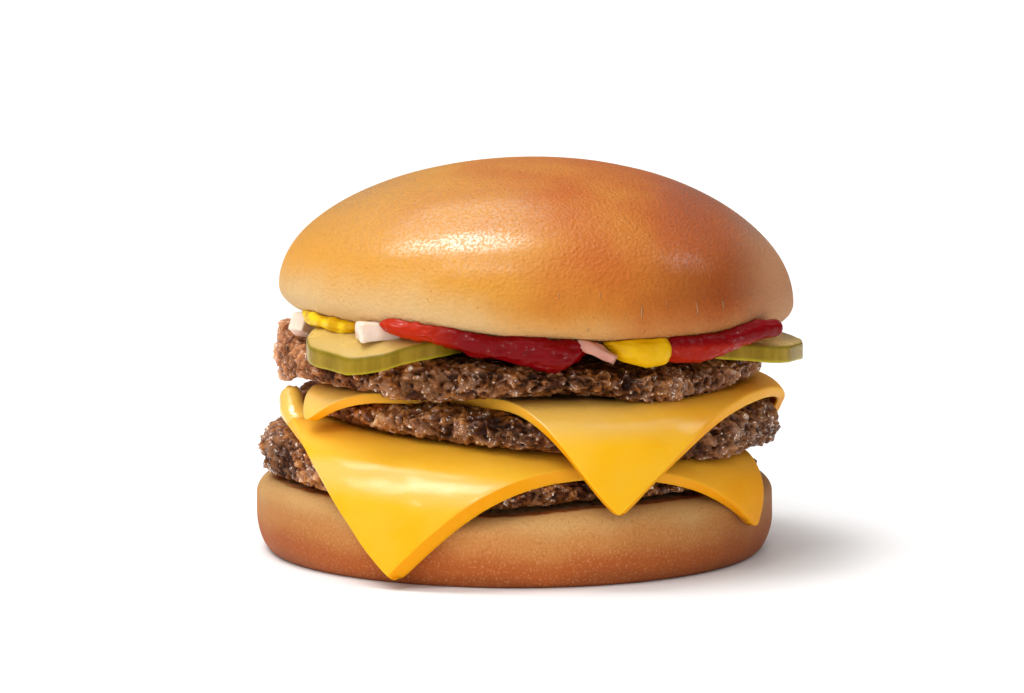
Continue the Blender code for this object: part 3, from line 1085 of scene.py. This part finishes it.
@dataclass(frozen=True)
class Patty:
    """A beef patty pressed between two levels, its rim rough with lumps.

    Each wave of the outline has a count, a size and a shift. Each swell has an angle, a half width,
    the share of the radius that it starts at, and how far it moves the floor and the roof. Each kind
    of lump has a size, a height, a groove's width and a seed's step, and each kind of fold a size, a
    height and a seed's step.
    """

    name: str
    node: str
    centre: float
    radius: float
    floor: Level
    roof: Level
    waves: tuple[tuple[int, float, float], ...]
    swells: tuple[tuple[float, float, float, float, float], ...]
    seed: int
    paleness: float
    rim_above: float = 0.14
    rim_below: float = 0.07
    roof_rings: tuple[float, ...] = (0.15, 0.3, 0.45, 0.58, 0.68)
    floor_rings: tuple[float, ...] = (0.66, 0.42, 0.2)
    lumps: tuple[tuple[float, float, float, int], ...] = ((4.2, 0.85, 0.5, 10), (2.0, 0.66, 0.45, 20))
    folds: tuple[tuple[float, float, int], ...] = ((1.5, 0.46, 60), (0.8, 0.40, 61))
    deepest: float = 1.9
    steps: int = 1020

    def outline(self, angle: Numbers) -> Numbers:
        """Radius of the rim at an angle in degrees."""
        turn = np.radians(angle)
        return self.radius * (1.0 + sum(s * np.sin(n * turn + p) for n, s, p in self.waves))

    def top(self, x: Numbers, y: Numbers) -> Numbers:
        """Height of its upper side, rounded down to half its thickness at the rim."""
        angle, distance = polar(x - self.centre, y)
        share = (distance / self.outline(angle) - 1.0 + self.rim_above) / self.rim_above
        half = (self.roof.at(x) - self.floor.at(x)) / 2.0
        return self.roof.at(x) - half * (1.0 - np.sqrt(1.0 - np.clip(share, 0.0, 1.0) ** 2))

    def build(self) -> Object:
        """Makes the patty.

        Returns:
            The dressed piece.
        """
        above, below = self.rim_above, self.rim_below
        # A profile of radius 1 between heights -1 and 1, with its rings closest together at the rim.
        profile = flat_run(1.0, 1.0, (0.0, *self.roof_rings, *np.linspace(0.73, 0.85, 10)))
        profile += arc((1.0 - above, 0.0), (above, 1.0), 90.0, 0.0, 36)
        profile += arc((1.0 - below, 0.0), (below, 1.0), 0.0, -90.0, 28)[1:]
        profile += flat_run(1.0, -1.0, (*np.linspace(0.925, 0.76, 14), *self.floor_rings, 0.0))
        obj = spun(self.name, profile, self.steps)
        flat = read_points(obj)
        angle, share = polar(flat[:, 0], flat[:, 1])
        x, y = at_polar(angle, self.outline(angle) * share)
        x = x + self.centre
        low, high = self.floor.at(x), self.roof.at(x)
        for middle, width, inner, floor_change, roof_change in self.swells:
            end = bell(angle, middle, width) * smooth_step((share - inner) / 0.09)
            low, high = low + floor_change * end, high + roof_change * end
        write_points(obj, np.stack([x, y, (low + high) / 2 + flat[:, 2] * (high - low) / 2], axis=1))
        self.roughen(obj, smooth_step((share - 0.72) / 0.2))
        finish = SearedBeef(self.name, self.paleness)
        return finish_piece(obj, finish.make(), (self.node,))

    def roughen(self, obj: Object, rim: Numbers) -> None:
        """Presses packed grains of meat out of the surface.

        Args:
            obj: the smooth patty.
            rim: 1 near its rim and 0 in its middle.
        """
        points, normals = read_points(obj), read_points(obj, "normal")
        stir = [layered(points, 3.4, 2, self.seed + 5 * i) for i in range(3)]
        stirred = points + 1.1 * np.stack(stir, axis=1)
        relief = layered(points, 9.0, 2, self.seed + 50)
        tint = np.zeros(len(points))
        for size, height, gap, step in self.lumps:
            near, second, mark = grains(stirred, size, self.seed + step)
            inside = smooth_step((second - near) / gap)
            relief += height * (inside * (0.55 * mark + 0.35) - 0.42 - 0.30 * near * near)
            tint += height * mark / 1.4
        for size, height, step in self.folds:
            relief += height * (1.0 - 2.6 * np.abs(swell(stirred, size, self.seed + step)))
        side = 1.0 - normals[:, 2] ** 2
        shown = (0.30 + 0.70 * side) * (0.25 + 0.75 * rim)
        out = np.maximum(relief, -self.deepest) * shown - 0.35 * (1.0 - side)
        write_points(obj, points + normals * out[:, None])
        # Height of the relief; the finish paints shade into its low parts and light onto its crests.
        write_mark(obj, "relief", np.clip(relief / 3.0 + 0.55, 0.0, 1.0))
        write_mark(obj, "tint", tint)
        angle, _ = polar(points[:, 0], points[:, 1])
        grey = np.maximum(bell(angle, -88.0, 52.0), 0.8 * bell(angle, 62.0, 40.0))
        patches = smooth_step(0.5 + 0.9 * layered(points, 7.0, 2, self.seed + 70))
        write_mark(obj, "grey", np.clip(grey * (0.5 + 0.5 * patches), 0.0, 1.0))


@dataclass(frozen=True)
class Corner:
    """A corner of a slice: its angle and distance while the slice is flat, the radius at which it
    hangs, 1 if it hangs down or -1 if it is pushed up, and the radius of its bend."""

    angle: float
    distance: float
    hang: float
    way: float
    bend: float


@dataclass(frozen=True)
class Slice:
    """A cheese slice on a patty, by its four corners in order of angle.

    Each side has a bow, which is how far it is drawn in, where from its first to its second corner
    that is most, and how narrow that spot is. Each also has a slant, which is how far its cut leans
    at the first and at the second corner. The slice shines where it has dropped by between the
    two shiny lengths.
    """

    name: str
    node: str
    patty: Patty
    corners: tuple[Corner, Corner, Corner, Corner]
    bows: tuple[Triple, ...]
    slants: tuple[Pair, ...]
    shiny: Pair = (-2.0, 5.0)
    cells: int = 130

    def blend(self, angle: Numbers, values: Sequence[float]) -> Numbers:
        """A corner's value at any angle, eased between the two corners that it lies between."""
        result = np.zeros_like(angle)
        for i, after in enumerate(self.corners):
            before = self.corners[i - 1]
            span, on = (after.angle - before.angle) % 360.0, (angle - before.angle) % 360.0
            eased = values[i - 1] + (values[i] - values[i - 1]) * smooth_step(on / span)
            result = np.where(on <= span, eased, result)
        return result

    def lead(self, angle: Numbers) -> Numbers:
        """The direction in which a point at an angle bends: along its corner's diagonal."""
        result = np.array(angle)
        for i, corner in enumerate(self.corners):
            after, before = self.corners[(i + 1) % 4], self.corners[i - 1]
            off = wrapped(angle - corner.angle)
            half = np.where(off > 0.0, (after.angle - corner.angle) % 360.0,
                            (corner.angle - before.angle) % 360.0) / 2.0
            share = np.abs(off) / half
            result = np.where(share <= 1.0, angle - 0.6 * off * (1.0 - share), result)
        return result

    def draped(self, x: Numbers, y: Numbers) -> tuple[Numbers, Numbers, Numbers]:
        """Where the points of the flat slice come to lie.

        Args:
            x: their places on the flat slice, from the patty's axis.
            y: the same.

        Returns:
            x, y and how far each has dropped.
        """
        angle, distance = polar(x, y)
        hang = self.blend(angle, [corner.hang for corner in self.corners])
        way = self.blend(angle, [corner.way for corner in self.corners])
        bend = self.blend(angle, [corner.bend for corner in self.corners])
        # A hanging corner bends by up to 86 degrees, a pushed-up one by up to 114.
        most = np.radians(100.0 - 14.0 * way)
        start = hang - bend
        ahead_x, ahead_y = at_polar(self.lead(angle), 1.0)
        along = x * ahead_x + y * ahead_y
        past = along - np.sqrt(np.maximum(along ** 2 - distance ** 2 + start ** 2, 0.0))
        past = np.where(distance > start, past, 0.0)
        bent = np.minimum(past / bend, most)
        left = past - bent * bend
        out = bend * np.sin(bent) + left * np.cos(bent) - past
        drop = bend * (1.0 - np.cos(bent)) + left * np.sin(bent)
        return x + out * ahead_x, y + out * ahead_y, drop * way

    def lines(self, cut: Cut) -> tuple[Numbers, Numbers, Numbers, Numbers]:
        """Where the lines of one layer's grid lie in one direction.

        Args:
            cut: the lines from a border inwards, as in CUT_ABOVE.

        Returns:
            For each line its place from -1 to 1, its share of the low border's slant, its height and
            how much of it is cut edge.
        """
        share, more, height = np.array(cut).T
        low = more / SLICE_SPAN - 1.0
        middle = np.linspace(0.0, 1.0, self.cells)[1:-1]
        place = np.concatenate([low, low[-1] * (1.0 - 2.0 * middle), -low[::-1]])
        leaning = np.concatenate([share, share[-1] * (1.0 - middle), np.zeros_like(share)]) / SLICE_SPAN
        heights = np.concatenate([height, np.full(len(middle), height[-1]), height[::-1]])
        edge = ((share < 1.0) | (more < 0.1)).astype(float)
        return place, leaning, heights, np.concatenate([edge, np.zeros_like(middle), edge[::-1]])

    @staticmethod
    def drawn_in(bow: Triple, share: Numbers) -> Numbers:
        """How far a side is drawn in at a share of its length.

        Args:
            bow: the most that it is drawn in, where that is and how narrow that spot is.
            share: 0 at its first corner and 1 at its second.

        Returns:
            Shares of the distance from the middle.
        """
        most, peak, narrow = bow
        held = np.clip(share, 0.0, 1.0)
        rise = (held / peak) ** (narrow * peak)
        return most * rise * ((1.0 - held) / (1.0 - peak)) ** (narrow * (1.0 - peak))

    def layer(self, cut: Cut) -> tuple[Points, Numbers, Numbers]:
        """One side of the slice with its share of the cut edge.

        Args:
            cut: see lines.

        Returns:
            A square of points, the drop of each and how much each is cut edge.
        """
        place, leaning, heights, cut_share = self.lines(cut)
        up = np.sign(heights[len(heights) // 2])
        lift = up * np.minimum(*np.meshgrid(heights * up, heights * up, indexing="ij"))
        edge = np.maximum(*np.meshgrid(cut_share, cut_share, indexing="ij"))
        across, along = np.meshgrid(place, place, indexing="ij")
        u, v = across / 2 + 0.5, along / 2 + 0.5
        front, right, back, left = self.slants
        low, high = leaning, leaning[::-1]
        across = across + low[:, None] * (left[1] + (left[0] - left[1]) * v)
        across -= high[:, None] * (right[0] + (right[1] - right[0]) * v)
        along = along + low[None] * (front[0] + (front[1] - front[0]) * u)
        along -= high[None] * (back[1] + (back[0] - back[1]) * u)
        u, v = across / 2 + 0.5, along / 2 + 0.5
        flat = [at_polar(corner.angle, corner.distance) for corner in self.corners]
        front, right, back, left = self.bows
        pinch = 1.0 - across ** 2 * np.where(across > 0.0, self.drawn_in(right, v),
                                             self.drawn_in(left, 1 - v))
        pinch -= along ** 2 * np.where(along > 0.0, self.drawn_in(back, 1 - u), self.drawn_in(front, u))
        pinch -= 0.02 * (across * along) ** 40  # rounds off the four tips
        shares = ((1 - u) * (1 - v), u * (1 - v), u * v, (1 - u) * v)
        x = pinch * sum(share * corner[0] for share, corner in zip(shares, flat))
        y = pinch * sum(share * corner[1] for share, corner in zip(shares, flat))
        x, y, drop = (part.reshape(across.shape) for part in self.draped(x.ravel(), y.ravel()))
        x = x + self.patty.centre
        z = self.patty.roof.at(x) + GAP + SLICE_THICKNESS / 2 - drop
        points = np.stack([x, y, z], axis=2)
        flat_points = points.reshape(-1, 3)
        uneven = 0.20 * swell(flat_points, 11.0, 61) + 0.10 * swell(flat_points, 4.5, 62)
        normals = np.cross(np.gradient(points, axis=0), np.gradient(points, axis=1))
        normals /= np.linalg.norm(normals, axis=2)[..., None]
        offset = lift * SLICE_THICKNESS / 2 + uneven.reshape(across.shape)
        return points + normals * offset[..., None], drop, edge

    def build(self) -> Object:
        """Makes the slice.

        Returns:
            The dressed piece.
        """
        top, drop, edge = self.layer(CUT_ABOVE)
        bottom, _, lower_edge = self.layer(CUT_BELOW)
        bottom[[0, -1]], bottom[:, [0, -1]] = top[[0, -1]], top[:, [0, -1]]
        count = len(top)
        number = np.arange(count * count).reshape(count, count)
        quads = np.stack([number[:-1, :-1], number[1:, :-1], number[1:, 1:], number[:-1, 1:]], axis=2)
        quads = quads.reshape(-1, 4)
        faces = np.concatenate([quads, quads[:, ::-1] + count * count])
        points = np.concatenate([top.reshape(-1, 3), bottom.reshape(-1, 3)])
        obj = meshed(self.name, points, faces.tolist())
        dropped = np.abs(drop.ravel())
        # Where it lies flat near the patty; the finish paints fill light there.
        write_mark(obj, "near", np.tile(1.0 - smooth_step(dropped / 5.0), 2))
        write_mark(obj, "edge", np.concatenate([edge.ravel(), lower_edge.ravel()]))
        least, most = self.shiny
        matte = 1.0 - smooth_step((dropped - least) / 1.6 + 0.5) * smooth_step((most - dropped) / 4.0 + 0.5)
        write_mark(obj, "matte", np.tile(matte, 2))
        select_only(obj)
        bpy.ops.object.mode_set(mode="EDIT")
        bpy.ops.mesh.select_all(action="SELECT")
        bpy.ops.mesh.remove_doubles(threshold=WELD)
        bpy.ops.mesh.normals_make_consistent(inside=False)
        bpy.ops.object.mode_set(mode="OBJECT")
        return finish_piece(obj, MeltedCheese(self.name).make(), (self.node,))


@dataclass(frozen=True)
class Pickle:
    """A round pickle slice drooping over the upper patty's shoulder.

    Each facet, a straighter side, has an angle and the share of the radius that it cuts off.
    """

    name: str
    node: str
    patty: Patty
    centre: Pair
    shoulder: float
    droop: float
    facets: tuple[Pair, ...]
    radius: float = 15.9
    thickness: float = 3.5
    softness: float = 0.45
    sharpness: float = 90.0
    steps: int = 160

    def level(self, x: Numbers, y: Numbers) -> Numbers:
        """Height of the slice's middle at a point."""
        past = np.maximum(np.hypot(x, y) - self.shoulder, 0.0)
        return self.patty.roof.at(x) + GAP + self.thickness / 2 - self.droop * past * past

    def build(self) -> Object:
        """Makes the slice.

        Returns:
            The dressed piece.
        """
        half, soft = self.thickness / 2, self.softness
        inner = self.radius - soft
        profile = flat_run(inner, half, np.linspace(0.0, 1.0, 36))
        profile += arc((inner, half - soft), (soft, soft), 90.0, 0.0, 5)[1:]
        profile += [(self.radius, height) for height in np.linspace(half - soft, soft - half, 7)[1:-1]]
        profile += arc((inner, soft - half), (soft, soft), 0.0, -90.0, 5)
        profile += flat_run(inner, -half, np.linspace(0.96, 0.0, 14))
        obj = spun(self.name, profile, self.steps)
        flat = read_points(obj)
        angle, distance = polar(flat[:, 0], flat[:, 1])
        share = distance / self.radius
        rim = 1.0 + 0.006 * np.sin(np.radians(7 * angle)) + 0.003 * np.sin(np.radians(19 * angle + 40))
        for middle, depth in self.facets:
            facet = (1.0 - depth) / np.maximum(np.cos(np.radians(wrapped(angle - middle))), 0.3)
            rim = -np.logaddexp(-self.sharpness * rim, -self.sharpness * facet) / self.sharpness
        x, y = self.centre[0] + flat[:, 0] * rim, self.centre[1] + flat[:, 1] * rim
        z = self.level(x, y) + flat[:, 2] * (1.0 - 0.06 * share ** 6)
        points = np.stack([x, y, z], axis=1)
        points[:, 2] += 0.12 * swell(points, 4.0, 81) + 0.06 * swell(points, 1.6, 83)
        write_points(obj, points)
        write_mark(obj, "reach", share)
        write_mark(obj, "level", flat[:, 2] / half)
        write_mark(obj, "skin", smooth_step((share - 0.965) / 0.03))
        finish = PickledCucumber(self.name, (*self.centre, self.patty.roof.height))
        return finish_piece(obj, finish.make(), (self.node,))


@dataclass(frozen=True)
class Dressing:
    """The toppings on the upper patty: sauces and onion between it, the pickles and the crown."""

    patty: Patty
    crown: Crown
    pickles: tuple[Pickle, Pickle]
    voxel: float = 0.36

    def bed(self, x: Numbers, y: Numbers) -> Numbers:
        """Height of what a topping lies on."""
        height = self.patty.top(x, y)
        for pickle in self.pickles:
            away = np.hypot(x - pickle.centre[0], y - pickle.centre[1]) - pickle.radius
            top = pickle.level(x, y) + pickle.thickness / 2
            height = height + np.maximum(top - height, 0.0) * smooth_step((0.8 - away) / 1.2)
        return height

    def settle(self, obj: Object) -> None:
        """Squeezes a topping between its bed and the crown."""
        points = read_points(obj)
        x, y, z = points.T
        low, high = self.bed(x, y) - 0.15, self.crown.roof(x, y) + 0.1
        inside = np.hypot(x - self.patty.centre, y) < self.patty.radius - 0.8
        lifted = np.where(inside, np.maximum(z, low), z)
        points[:, 2] = np.minimum(lifted, np.maximum(high, low + 0.4))
        write_points(obj, points)

    def poured(self, name: str, finish: Material, nodes: Sequence[str], ripple: float,
               chains: Sequence[Chain], thin_from: Callable[[Points], Numbers] | None = None,
               settled: bool = True) -> Object:
        """A piece of sauce or of melted cheese.

        Args:
            name: its name.
            finish: its material.
            nodes: the solids that it stands for.
            ripple: how uneven its surface is.
            chains: the chains of stretched balls that it is melted from.
            thin_from: gives 0 to 1 for how thin it is at each point.
            settled: whether it is squeezed between its bed and the crown.

        Returns:
            The dressed piece.
        """
        obj = lump(name, chains, self.voxel)
        if settled:
            self.settle(obj)
        apply_modifier(obj, "SMOOTH", factor=0.5, iterations=3)
        points = read_points(obj)
        slid = points * np.array([0.55, 0.8, 1.5])
        uneven = layered(slid, 2.0, 2, 91) + 0.8 * (0.5 - 1.6 * np.abs(swell(slid, 1.3, 94)))
        push_out(obj, ripple * uneven)
        if thin_from:
            write_mark(obj, "thin", np.clip(thin_from(points), 0.0, 1.0))
        return finish_piece(obj, finish, nodes)

    def onion_bit(self, name: str, node: str, finish: Material, middle: Triple, half: Triple,
                  turn: float, roll: float) -> Object:
        """A chopped bit of onion: a soft-edged uneven block.

        Args:
            name: its name.
            node: the solid that it stands for.
            finish: its material.
            middle: its middle.
            half: its half sizes.
            turn: degrees round +Z.
            roll: degrees that its right end dips.

        Returns:
            The dressed piece.
        """
        deselect()
        bpy.ops.mesh.primitive_cube_add(size=2.0, location=middle, scale=half,
                                        rotation=(0.0, math.radians(roll), math.radians(turn)))
        obj = bpy.context.object
        obj.name = name
        bpy.ops.object.transform_apply(location=True, rotation=True, scale=True)
        apply_modifier(obj, "BEVEL", width=0.5, segments=3)
        apply_modifier(obj, "SUBSURF", subdivision_type="SIMPLE", levels=4, render_levels=4)
        apply_modifier(obj, "SMOOTH", factor=0.5, iterations=4)
        points = read_points(obj)
        push_out(obj, 0.42 * swell(points, 2.6, 101) + 0.10 * swell(points, 1.0, 103))
        self.settle(obj)
        return finish_piece(obj, finish, (node,))

    def build(self) -> list[Object]:
        """Makes every topping.

        Returns:
            The dressed pieces.
        """
        ketchup = Sauce("ketchup_gloss", deep=Tone(120, 0, 6), thin=Tone(186, 38, 2), roughness=0.2,
                        scatter=0.03, bleed=(1.0, 0.15, 0.08), graininess=0.14).make()
        mustard = Sauce("mustard_gloss", deep=Tone(218, 164, 0), thin=Tone(252, 212, 30), roughness=0.26,
                        scatter=0.2, bleed=(1.0, 0.7, 0.05), graininess=0.2).make()
        onion = RawOnion("onion_flesh").make()
        # A darker copy of the onion finish: painted shade for the right-hand bit.
        stained = RawOnion("onion_stained", Tone(206, 146, 124), Tone(176, 104, 90)).make()
        return [
            self.poured("ketchup_front", ketchup, ("ketchup_left", "ketchup_mid"), 0.38, (
                ((-23.0, -41.2, 47.8, 1.9, 2.0, 1.3), (-20.4, -42.2, 47.4, 3.0, 2.6, 1.9),
                 (-15.6, -43.6, 46.9, 3.0, 2.9, 2.0), (-11.0, -44.6, 46.2, 3.0, 2.9, 2.3),
                 (-6.6, -45.0, 45.0, 3.2, 3.0, 2.7), (-1.6, -44.8, 44.4, 3.4, 3.0, 2.7),
                 (2.6, -45.2, 43.7, 3.6, 3.4, 3.1), (6.6, -45.4, 42.9, 4.0, 3.8, 3.5),
                 (9.2, -44.6, 43.4, 3.2, 3.4, 2.8), (11.8, -43.4, 44.4, 2.2, 2.8, 1.8)),
                ((3.0, -36.0, 43.4, 8.6, 7.0, 2.2), (3.0, -18.0, 43.2, 8.6, 8.0, 2.2),
                 (3.0, 4.0, 43.0, 8.6, 8.0, 2.0), (3.0, 34.0, 41.8, 6.6, 6.6, 1.4))),
                lambda p: smooth_step((-8.0 - p[:, 0]) / 11.0)),
            self.poured("ketchup_ribbon", ketchup, ("ketchup_right",), 0.18, (
                ((29.2, -39.2, 43.6, 3.0, 2.8, 2.9), (33.4, -36.8, 43.2, 3.2, 3.0, 3.0),
                 (37.4, -34.4, 43.8, 3.2, 2.8, 2.6), (41.4, -31.8, 44.9, 3.0, 2.4, 2.2),
                 (45.0, -29.6, 45.7, 2.9, 2.3, 2.0), (48.2, -27.6, 45.9, 2.3, 2.1, 1.8)),),
                lambda p: 0.5 * smooth_step((44.6 - p[:, 2]) / 1.5)),
            self.poured("mustard_dab", mustard, ("mustard_left",), 0.30, (
                ((-39.0, -20.4, 47.9, 1.5, 1.9, 1.2), (-37.2, -24.0, 47.4, 2.2, 2.4, 1.7),
                 (-34.8, -27.2, 46.8, 1.7, 2.2, 1.3), (-32.8, -29.8, 46.6, 2.4, 2.2, 1.8),
                 (-30.4, -32.2, 46.4, 1.7, 1.9, 1.5)),
                ((-36.0, -22.0, 47.2, 4.0, 4.0, 1.8),)),
                lambda p: smooth_step(0.4 + 0.9 * swell(p, 1.8, 95))),
            self.poured("mustard_block", mustard, ("mustard_right",), 0.16, (
                ((17.8, -41.8, 45.0, 2.0, 2.6, 1.4), (20.8, -42.2, 43.6, 2.9, 2.8, 2.7),
                 (24.2, -41.8, 42.9, 2.8, 2.8, 3.0), (26.8, -40.6, 43.2, 2.3, 3.0, 2.9)),
                ((21.6, -38.0, 43.4, 5.0, 5.0, 2.6), (26.0, -37.2, 43.6, 2.8, 4.0, 2.6))),
                lambda p: 0.3 * smooth_step(0.4 + 0.8 * swell(p, 3.0, 97))),
            self.poured("cheese_melt", MeltedCheese("cheese_melt").make(), (), 0.08, (
                ((-43.0, -12.5, 30.4, 2.5, 3.0, 2.6), (-42.6, -16.2, 28.8, 2.6, 2.8, 2.4),
                 (-41.4, -19.4, 27.4, 2.7, 2.3, 1.7)),
                ((-38.6, -20.4, 26.8, 1.6, 1.4, 0.8), (-36.4, -21.4, 26.6, 1.3, 1.1, 0.6))),
                settled=False),
            self.onion_bit("onion_chip_left", "onion_left", onion, (-40.3, -15.8, 45.2), (2.5, 1.8, 2.0),
                           56.0, 24.0),
            self.onion_bit("onion_chip_middle", "onion_mid", onion, (-25.2, -38.4, 46.3), (3.9, 2.1, 1.8),
                           20.0, 2.0),
            self.onion_bit("onion_chip_right", "onion_right", stained, (14.8, -45.0, 43.6), (4.2, 1.5, 1.1),
                           -4.0, 26.0),
        ]


# ---------------------------------------------------------------- studio


@dataclass(frozen=True)
class Lamp:
    """A studio light far off, as wide as a softbox looks from the burger."""

    name: str
    towards: Triple
    width: float
    power: float

    def build(self) -> None:
        """Hangs the light in its direction."""
        light = bpy.data.lights.new(self.name, "SUN")
        light.energy = self.power
        light.angle = math.radians(self.width)
        obj = placed(self.name, light)
        way = Vector(self.towards).normalized()
        obj.location = way
        obj.rotation_euler = (-way).to_track_quat("-Z", "Y").to_euler()


@dataclass(frozen=True)
class Studio:
    """Floor, lights and camera, inside a room whose brightness falls off away from one side."""

    lens: float = 120.0
    sensor: float = 36.0
    clip_end: float = 1000.0
    stand: Triple = (0.0, -0.665, 0.115)
    aim: Triple = (-0.000578, 0.0, 0.0392)
    side: Triple = (-0.58, -0.68, 0.26)
    bright: float = 0.52
    dim: float = 0.17
    dim_from: float = -0.9
    floor_size: float = 200.0
    lights: tuple[Lamp, ...] = (
        Lamp("overhead", (-0.14, 0.30, 0.94), 44.0, 0.60),
        Lamp("softbox_left", (-0.53, 0.13, 0.83), 15.0, 0.24),
        Lamp("softbox_middle", (-0.37, 0.07, 0.93), 20.0, 0.56),
        Lamp("softbox_right", (-0.20, 0.05, 0.98), 20.0, 0.56),
        Lamp("far_right", (0.42, 0.05, 0.90), 26.0, 0.08),
        Lamp("front_far_left", (-0.76, -0.32, 0.56), 15.0, 0.12),
        Lamp("front_left", (-0.60, -0.38, 0.70), 15.0, 0.18),
        Lamp("front_middle", (-0.41, -0.47, 0.78), 15.0, 0.18),
        Lamp("front_high", (-0.38, -0.32, 0.87), 15.0, 0.17),
        Lamp("front_right", (-0.20, -0.44, 0.87), 15.0, 0.20),
        Lamp("kicker", (0.72, 0.10, 0.68), 20.0, 0.20),
        Lamp("front", (-0.26, -0.82, 0.45), 70.0, 0.24),
        Lamp("front_low", (0.22, -0.86, 0.46), 40.0, 0.12),
        Lamp("glint_left", (-0.55, -0.75, 0.45), 5.0, 0.10),
        Lamp("glint_right", (-0.10, -0.80, 0.60), 5.0, 0.10),
    )

    def build_room(self) -> None:
        """Makes a pale room that is brightest on the side that the light comes from."""
        world = bpy.data.worlds.new("pale_room")
        room = Nodes(world)
        way = room.node("ShaderNodeTexCoord").outputs["Generated"]
        facing = room.node("ShaderNodeVectorMath", {"operation": "DOT_PRODUCT"},
                           {0: way, 1: Vector(self.side).normalized()})
        spread = room.node("ShaderNodeMapRange", None, {
            "Value": facing.outputs["Value"], "From Min": self.dim_from, "From Max": 1.0,
            "To Min": self.dim, "To Max": self.bright})
        background = room.node("ShaderNodeBackground", None, {
            "Color": (1.0, 1.0, 1.0, 1.0), "Strength": spread.outputs["Result"]})
        room.node("ShaderNodeOutputWorld", None, {"Surface": background.outputs[0]})
        bpy.context.scene.world = world

    def build(self) -> None:
        """Makes the floor, the lights and the camera."""
        scene = bpy.context.scene
        scene.view_settings.view_transform = "Standard"
        self.build_room()
        deselect()
        bpy.ops.mesh.primitive_plane_add(size=self.floor_size, location=(0.0, 0.0, 0.0))
        floor = bpy.context.object
        floor.name = "studio_floor"
        recipe = Recipe("studio_paper")
        floor.data.materials.append(recipe.surface(Base_Color=Tone(251, 251, 251), Roughness=0.9))
        for light in self.lights:
            light.build()
        camera = placed("camera", bpy.data.cameras.new("camera"))
        camera.data.lens = self.lens
        camera.data.sensor_width = self.sensor
        camera.data.clip_end = self.clip_end
        camera.location = self.stand
        camera.rotation_euler = (Vector(self.aim) - Vector(self.stand)).to_track_quat("-Z", "Y").to_euler()
        scene.camera = camera


# ---------------------------------------------------------------- the burger


def patties() -> tuple[Patty, Patty, Patty]:
    """The lower, middle and upper patty."""
    spacing = SLICE_THICKNESS + 2 * GAP
    lower = Patty(
        "beef_lower", "patty_lower", centre=-1.6, radius=48.0,
        floor=Level(HEEL_HEIGHT + GAP, 0.0), roof=Level(22.2, -0.075),
        waves=((2, 0.005, 0.4), (5, 0.006, 1.1), (9, 0.005, 2.0), (14, 0.003, 0.3)),
        swells=((-92.0, 30.0, 0.9, 0.0, 0.2), (-6.0, 26.0, 0.84, -1.2, 0.0)),
        seed=100, paleness=0.15)
    middle = Patty(
        "beef_middle", "patty_middle", centre=4.9, radius=46.6,
        floor=lower.roof.raised(spacing), roof=Level(31.7, -0.015),
        waves=((3, 0.006, 0.9), (4, 0.005, 2.6), (8, 0.006, 1.2), (13, 0.003, 2.2)),
        swells=((92.0, 30.0, 0.9, -1.6, -0.6), (-26.0, 27.0, 0.82, 0.0, 1.7),
                (46.0, 26.0, 0.84, -1.3, 0.0)),
        seed=200, paleness=0.6)
    upper = Patty(
        "beef_upper", "patty_upper", centre=0.4, radius=47.2,
        floor=middle.roof.raised(spacing), roof=Level(41.3, -0.030),
        waves=((2, 0.005, 2.1), (5, 0.009, 0.2), (7, 0.006, 1.5), (12, 0.005, 0.8)),
        swells=((-92.0, 32.0, 0.9, -4.4, 0.6), (-92.0, 26.0, 0.9, 0.0, 5.0),
                (-26.0, 27.0, 0.86, -1.4, 0.0), (12.0, 17.0, 0.84, 1.2, 0.0),
                (41.0, 25.0, 0.84, -2.4, 0.0)),
        seed=300, paleness=0.95)
    return lower, middle, upper


def slices(lower: Patty, middle: Patty) -> tuple[Slice, Slice]:
    """The lower and the upper cheese slice."""
    return (
        Slice("cheese_slice_lower", "cheese_lower", lower,
              corners=(Corner(-22.2, 70.9, 52.6, 1.0, 14.0), Corner(59.5, 62.6, 54.0, 1.0, 10.0),
                       Corner(149.0, 55.0, 52.0, 1.0, 8.0), Corner(261.0, 45.6, 42.8, -1.0, 3.4)),
              bows=((0.035, 0.5, 6.0), (0.03, 0.5, 2.0), (0.03, 0.5, 2.0), (-0.13, 0.5, 2.0)),
              slants=((3.8, -0.2), (0.3, 0.2), (0.2, 0.2), (0.5, 0.5)), shiny=(4.4, 8.5)),
        Slice("cheese_slice_upper", "cheese_upper", middle,
              corners=(Corner(15.8, 66.6, 51.9, 1.0, 12.0), Corner(103.0, 54.4, 47.3, 1.0, 4.0),
                       Corner(201.0, 56.0, 51.0, 1.0, 8.0), Corner(303.5, 55.8, 52.4, 1.0, 6.0)),
              bows=((-0.06, 0.5, 2.0), (0.03, 0.5, 2.0), (0.03, 0.5, 2.0), (0.18, 0.48, 5.0)),
              slants=((1.2, 0.6), (0.3, 0.2), (0.2, 0.2), (0.3, 0.3))),
    )


def pickles_on(patty: Patty) -> tuple[Pickle, Pickle]:
    """The left and the right pickle slice."""
    return (
        Pickle("pickle_slice_left", "pickle_left", patty, centre=(-23.2, -28.8), shoulder=40.4,
               droop=0.028, facets=((-48.0, 0.05), (14.0, 0.04), (66.0, 0.05), (-104.0, 0.03))),
        Pickle("pickle_slice_right", "pickle_right", patty, centre=(39.4, -14.5), shoulder=39.5,
               droop=0.0045, facets=((10.0, 0.05), (66.0, 0.03), (118.0, 0.05))),
    )


def main() -> None:
    """Builds the burger and its studio."""
    logging.basicConfig(level=logging.INFO, format="%(name)s %(message)s")
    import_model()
    crown = Crown()
    Heel().build()
    lower, middle, upper = patties()
    for patty in (lower, middle, upper):
        patty.build()
    for cheese in slices(lower, middle):
        cheese.build()
    pickles = pickles_on(upper)
    for pickle in pickles:
        pickle.build()
    Dressing(upper, crown, pickles).build()
    crown.build()
    Studio().build()


if __name__ == "__main__":
    main()
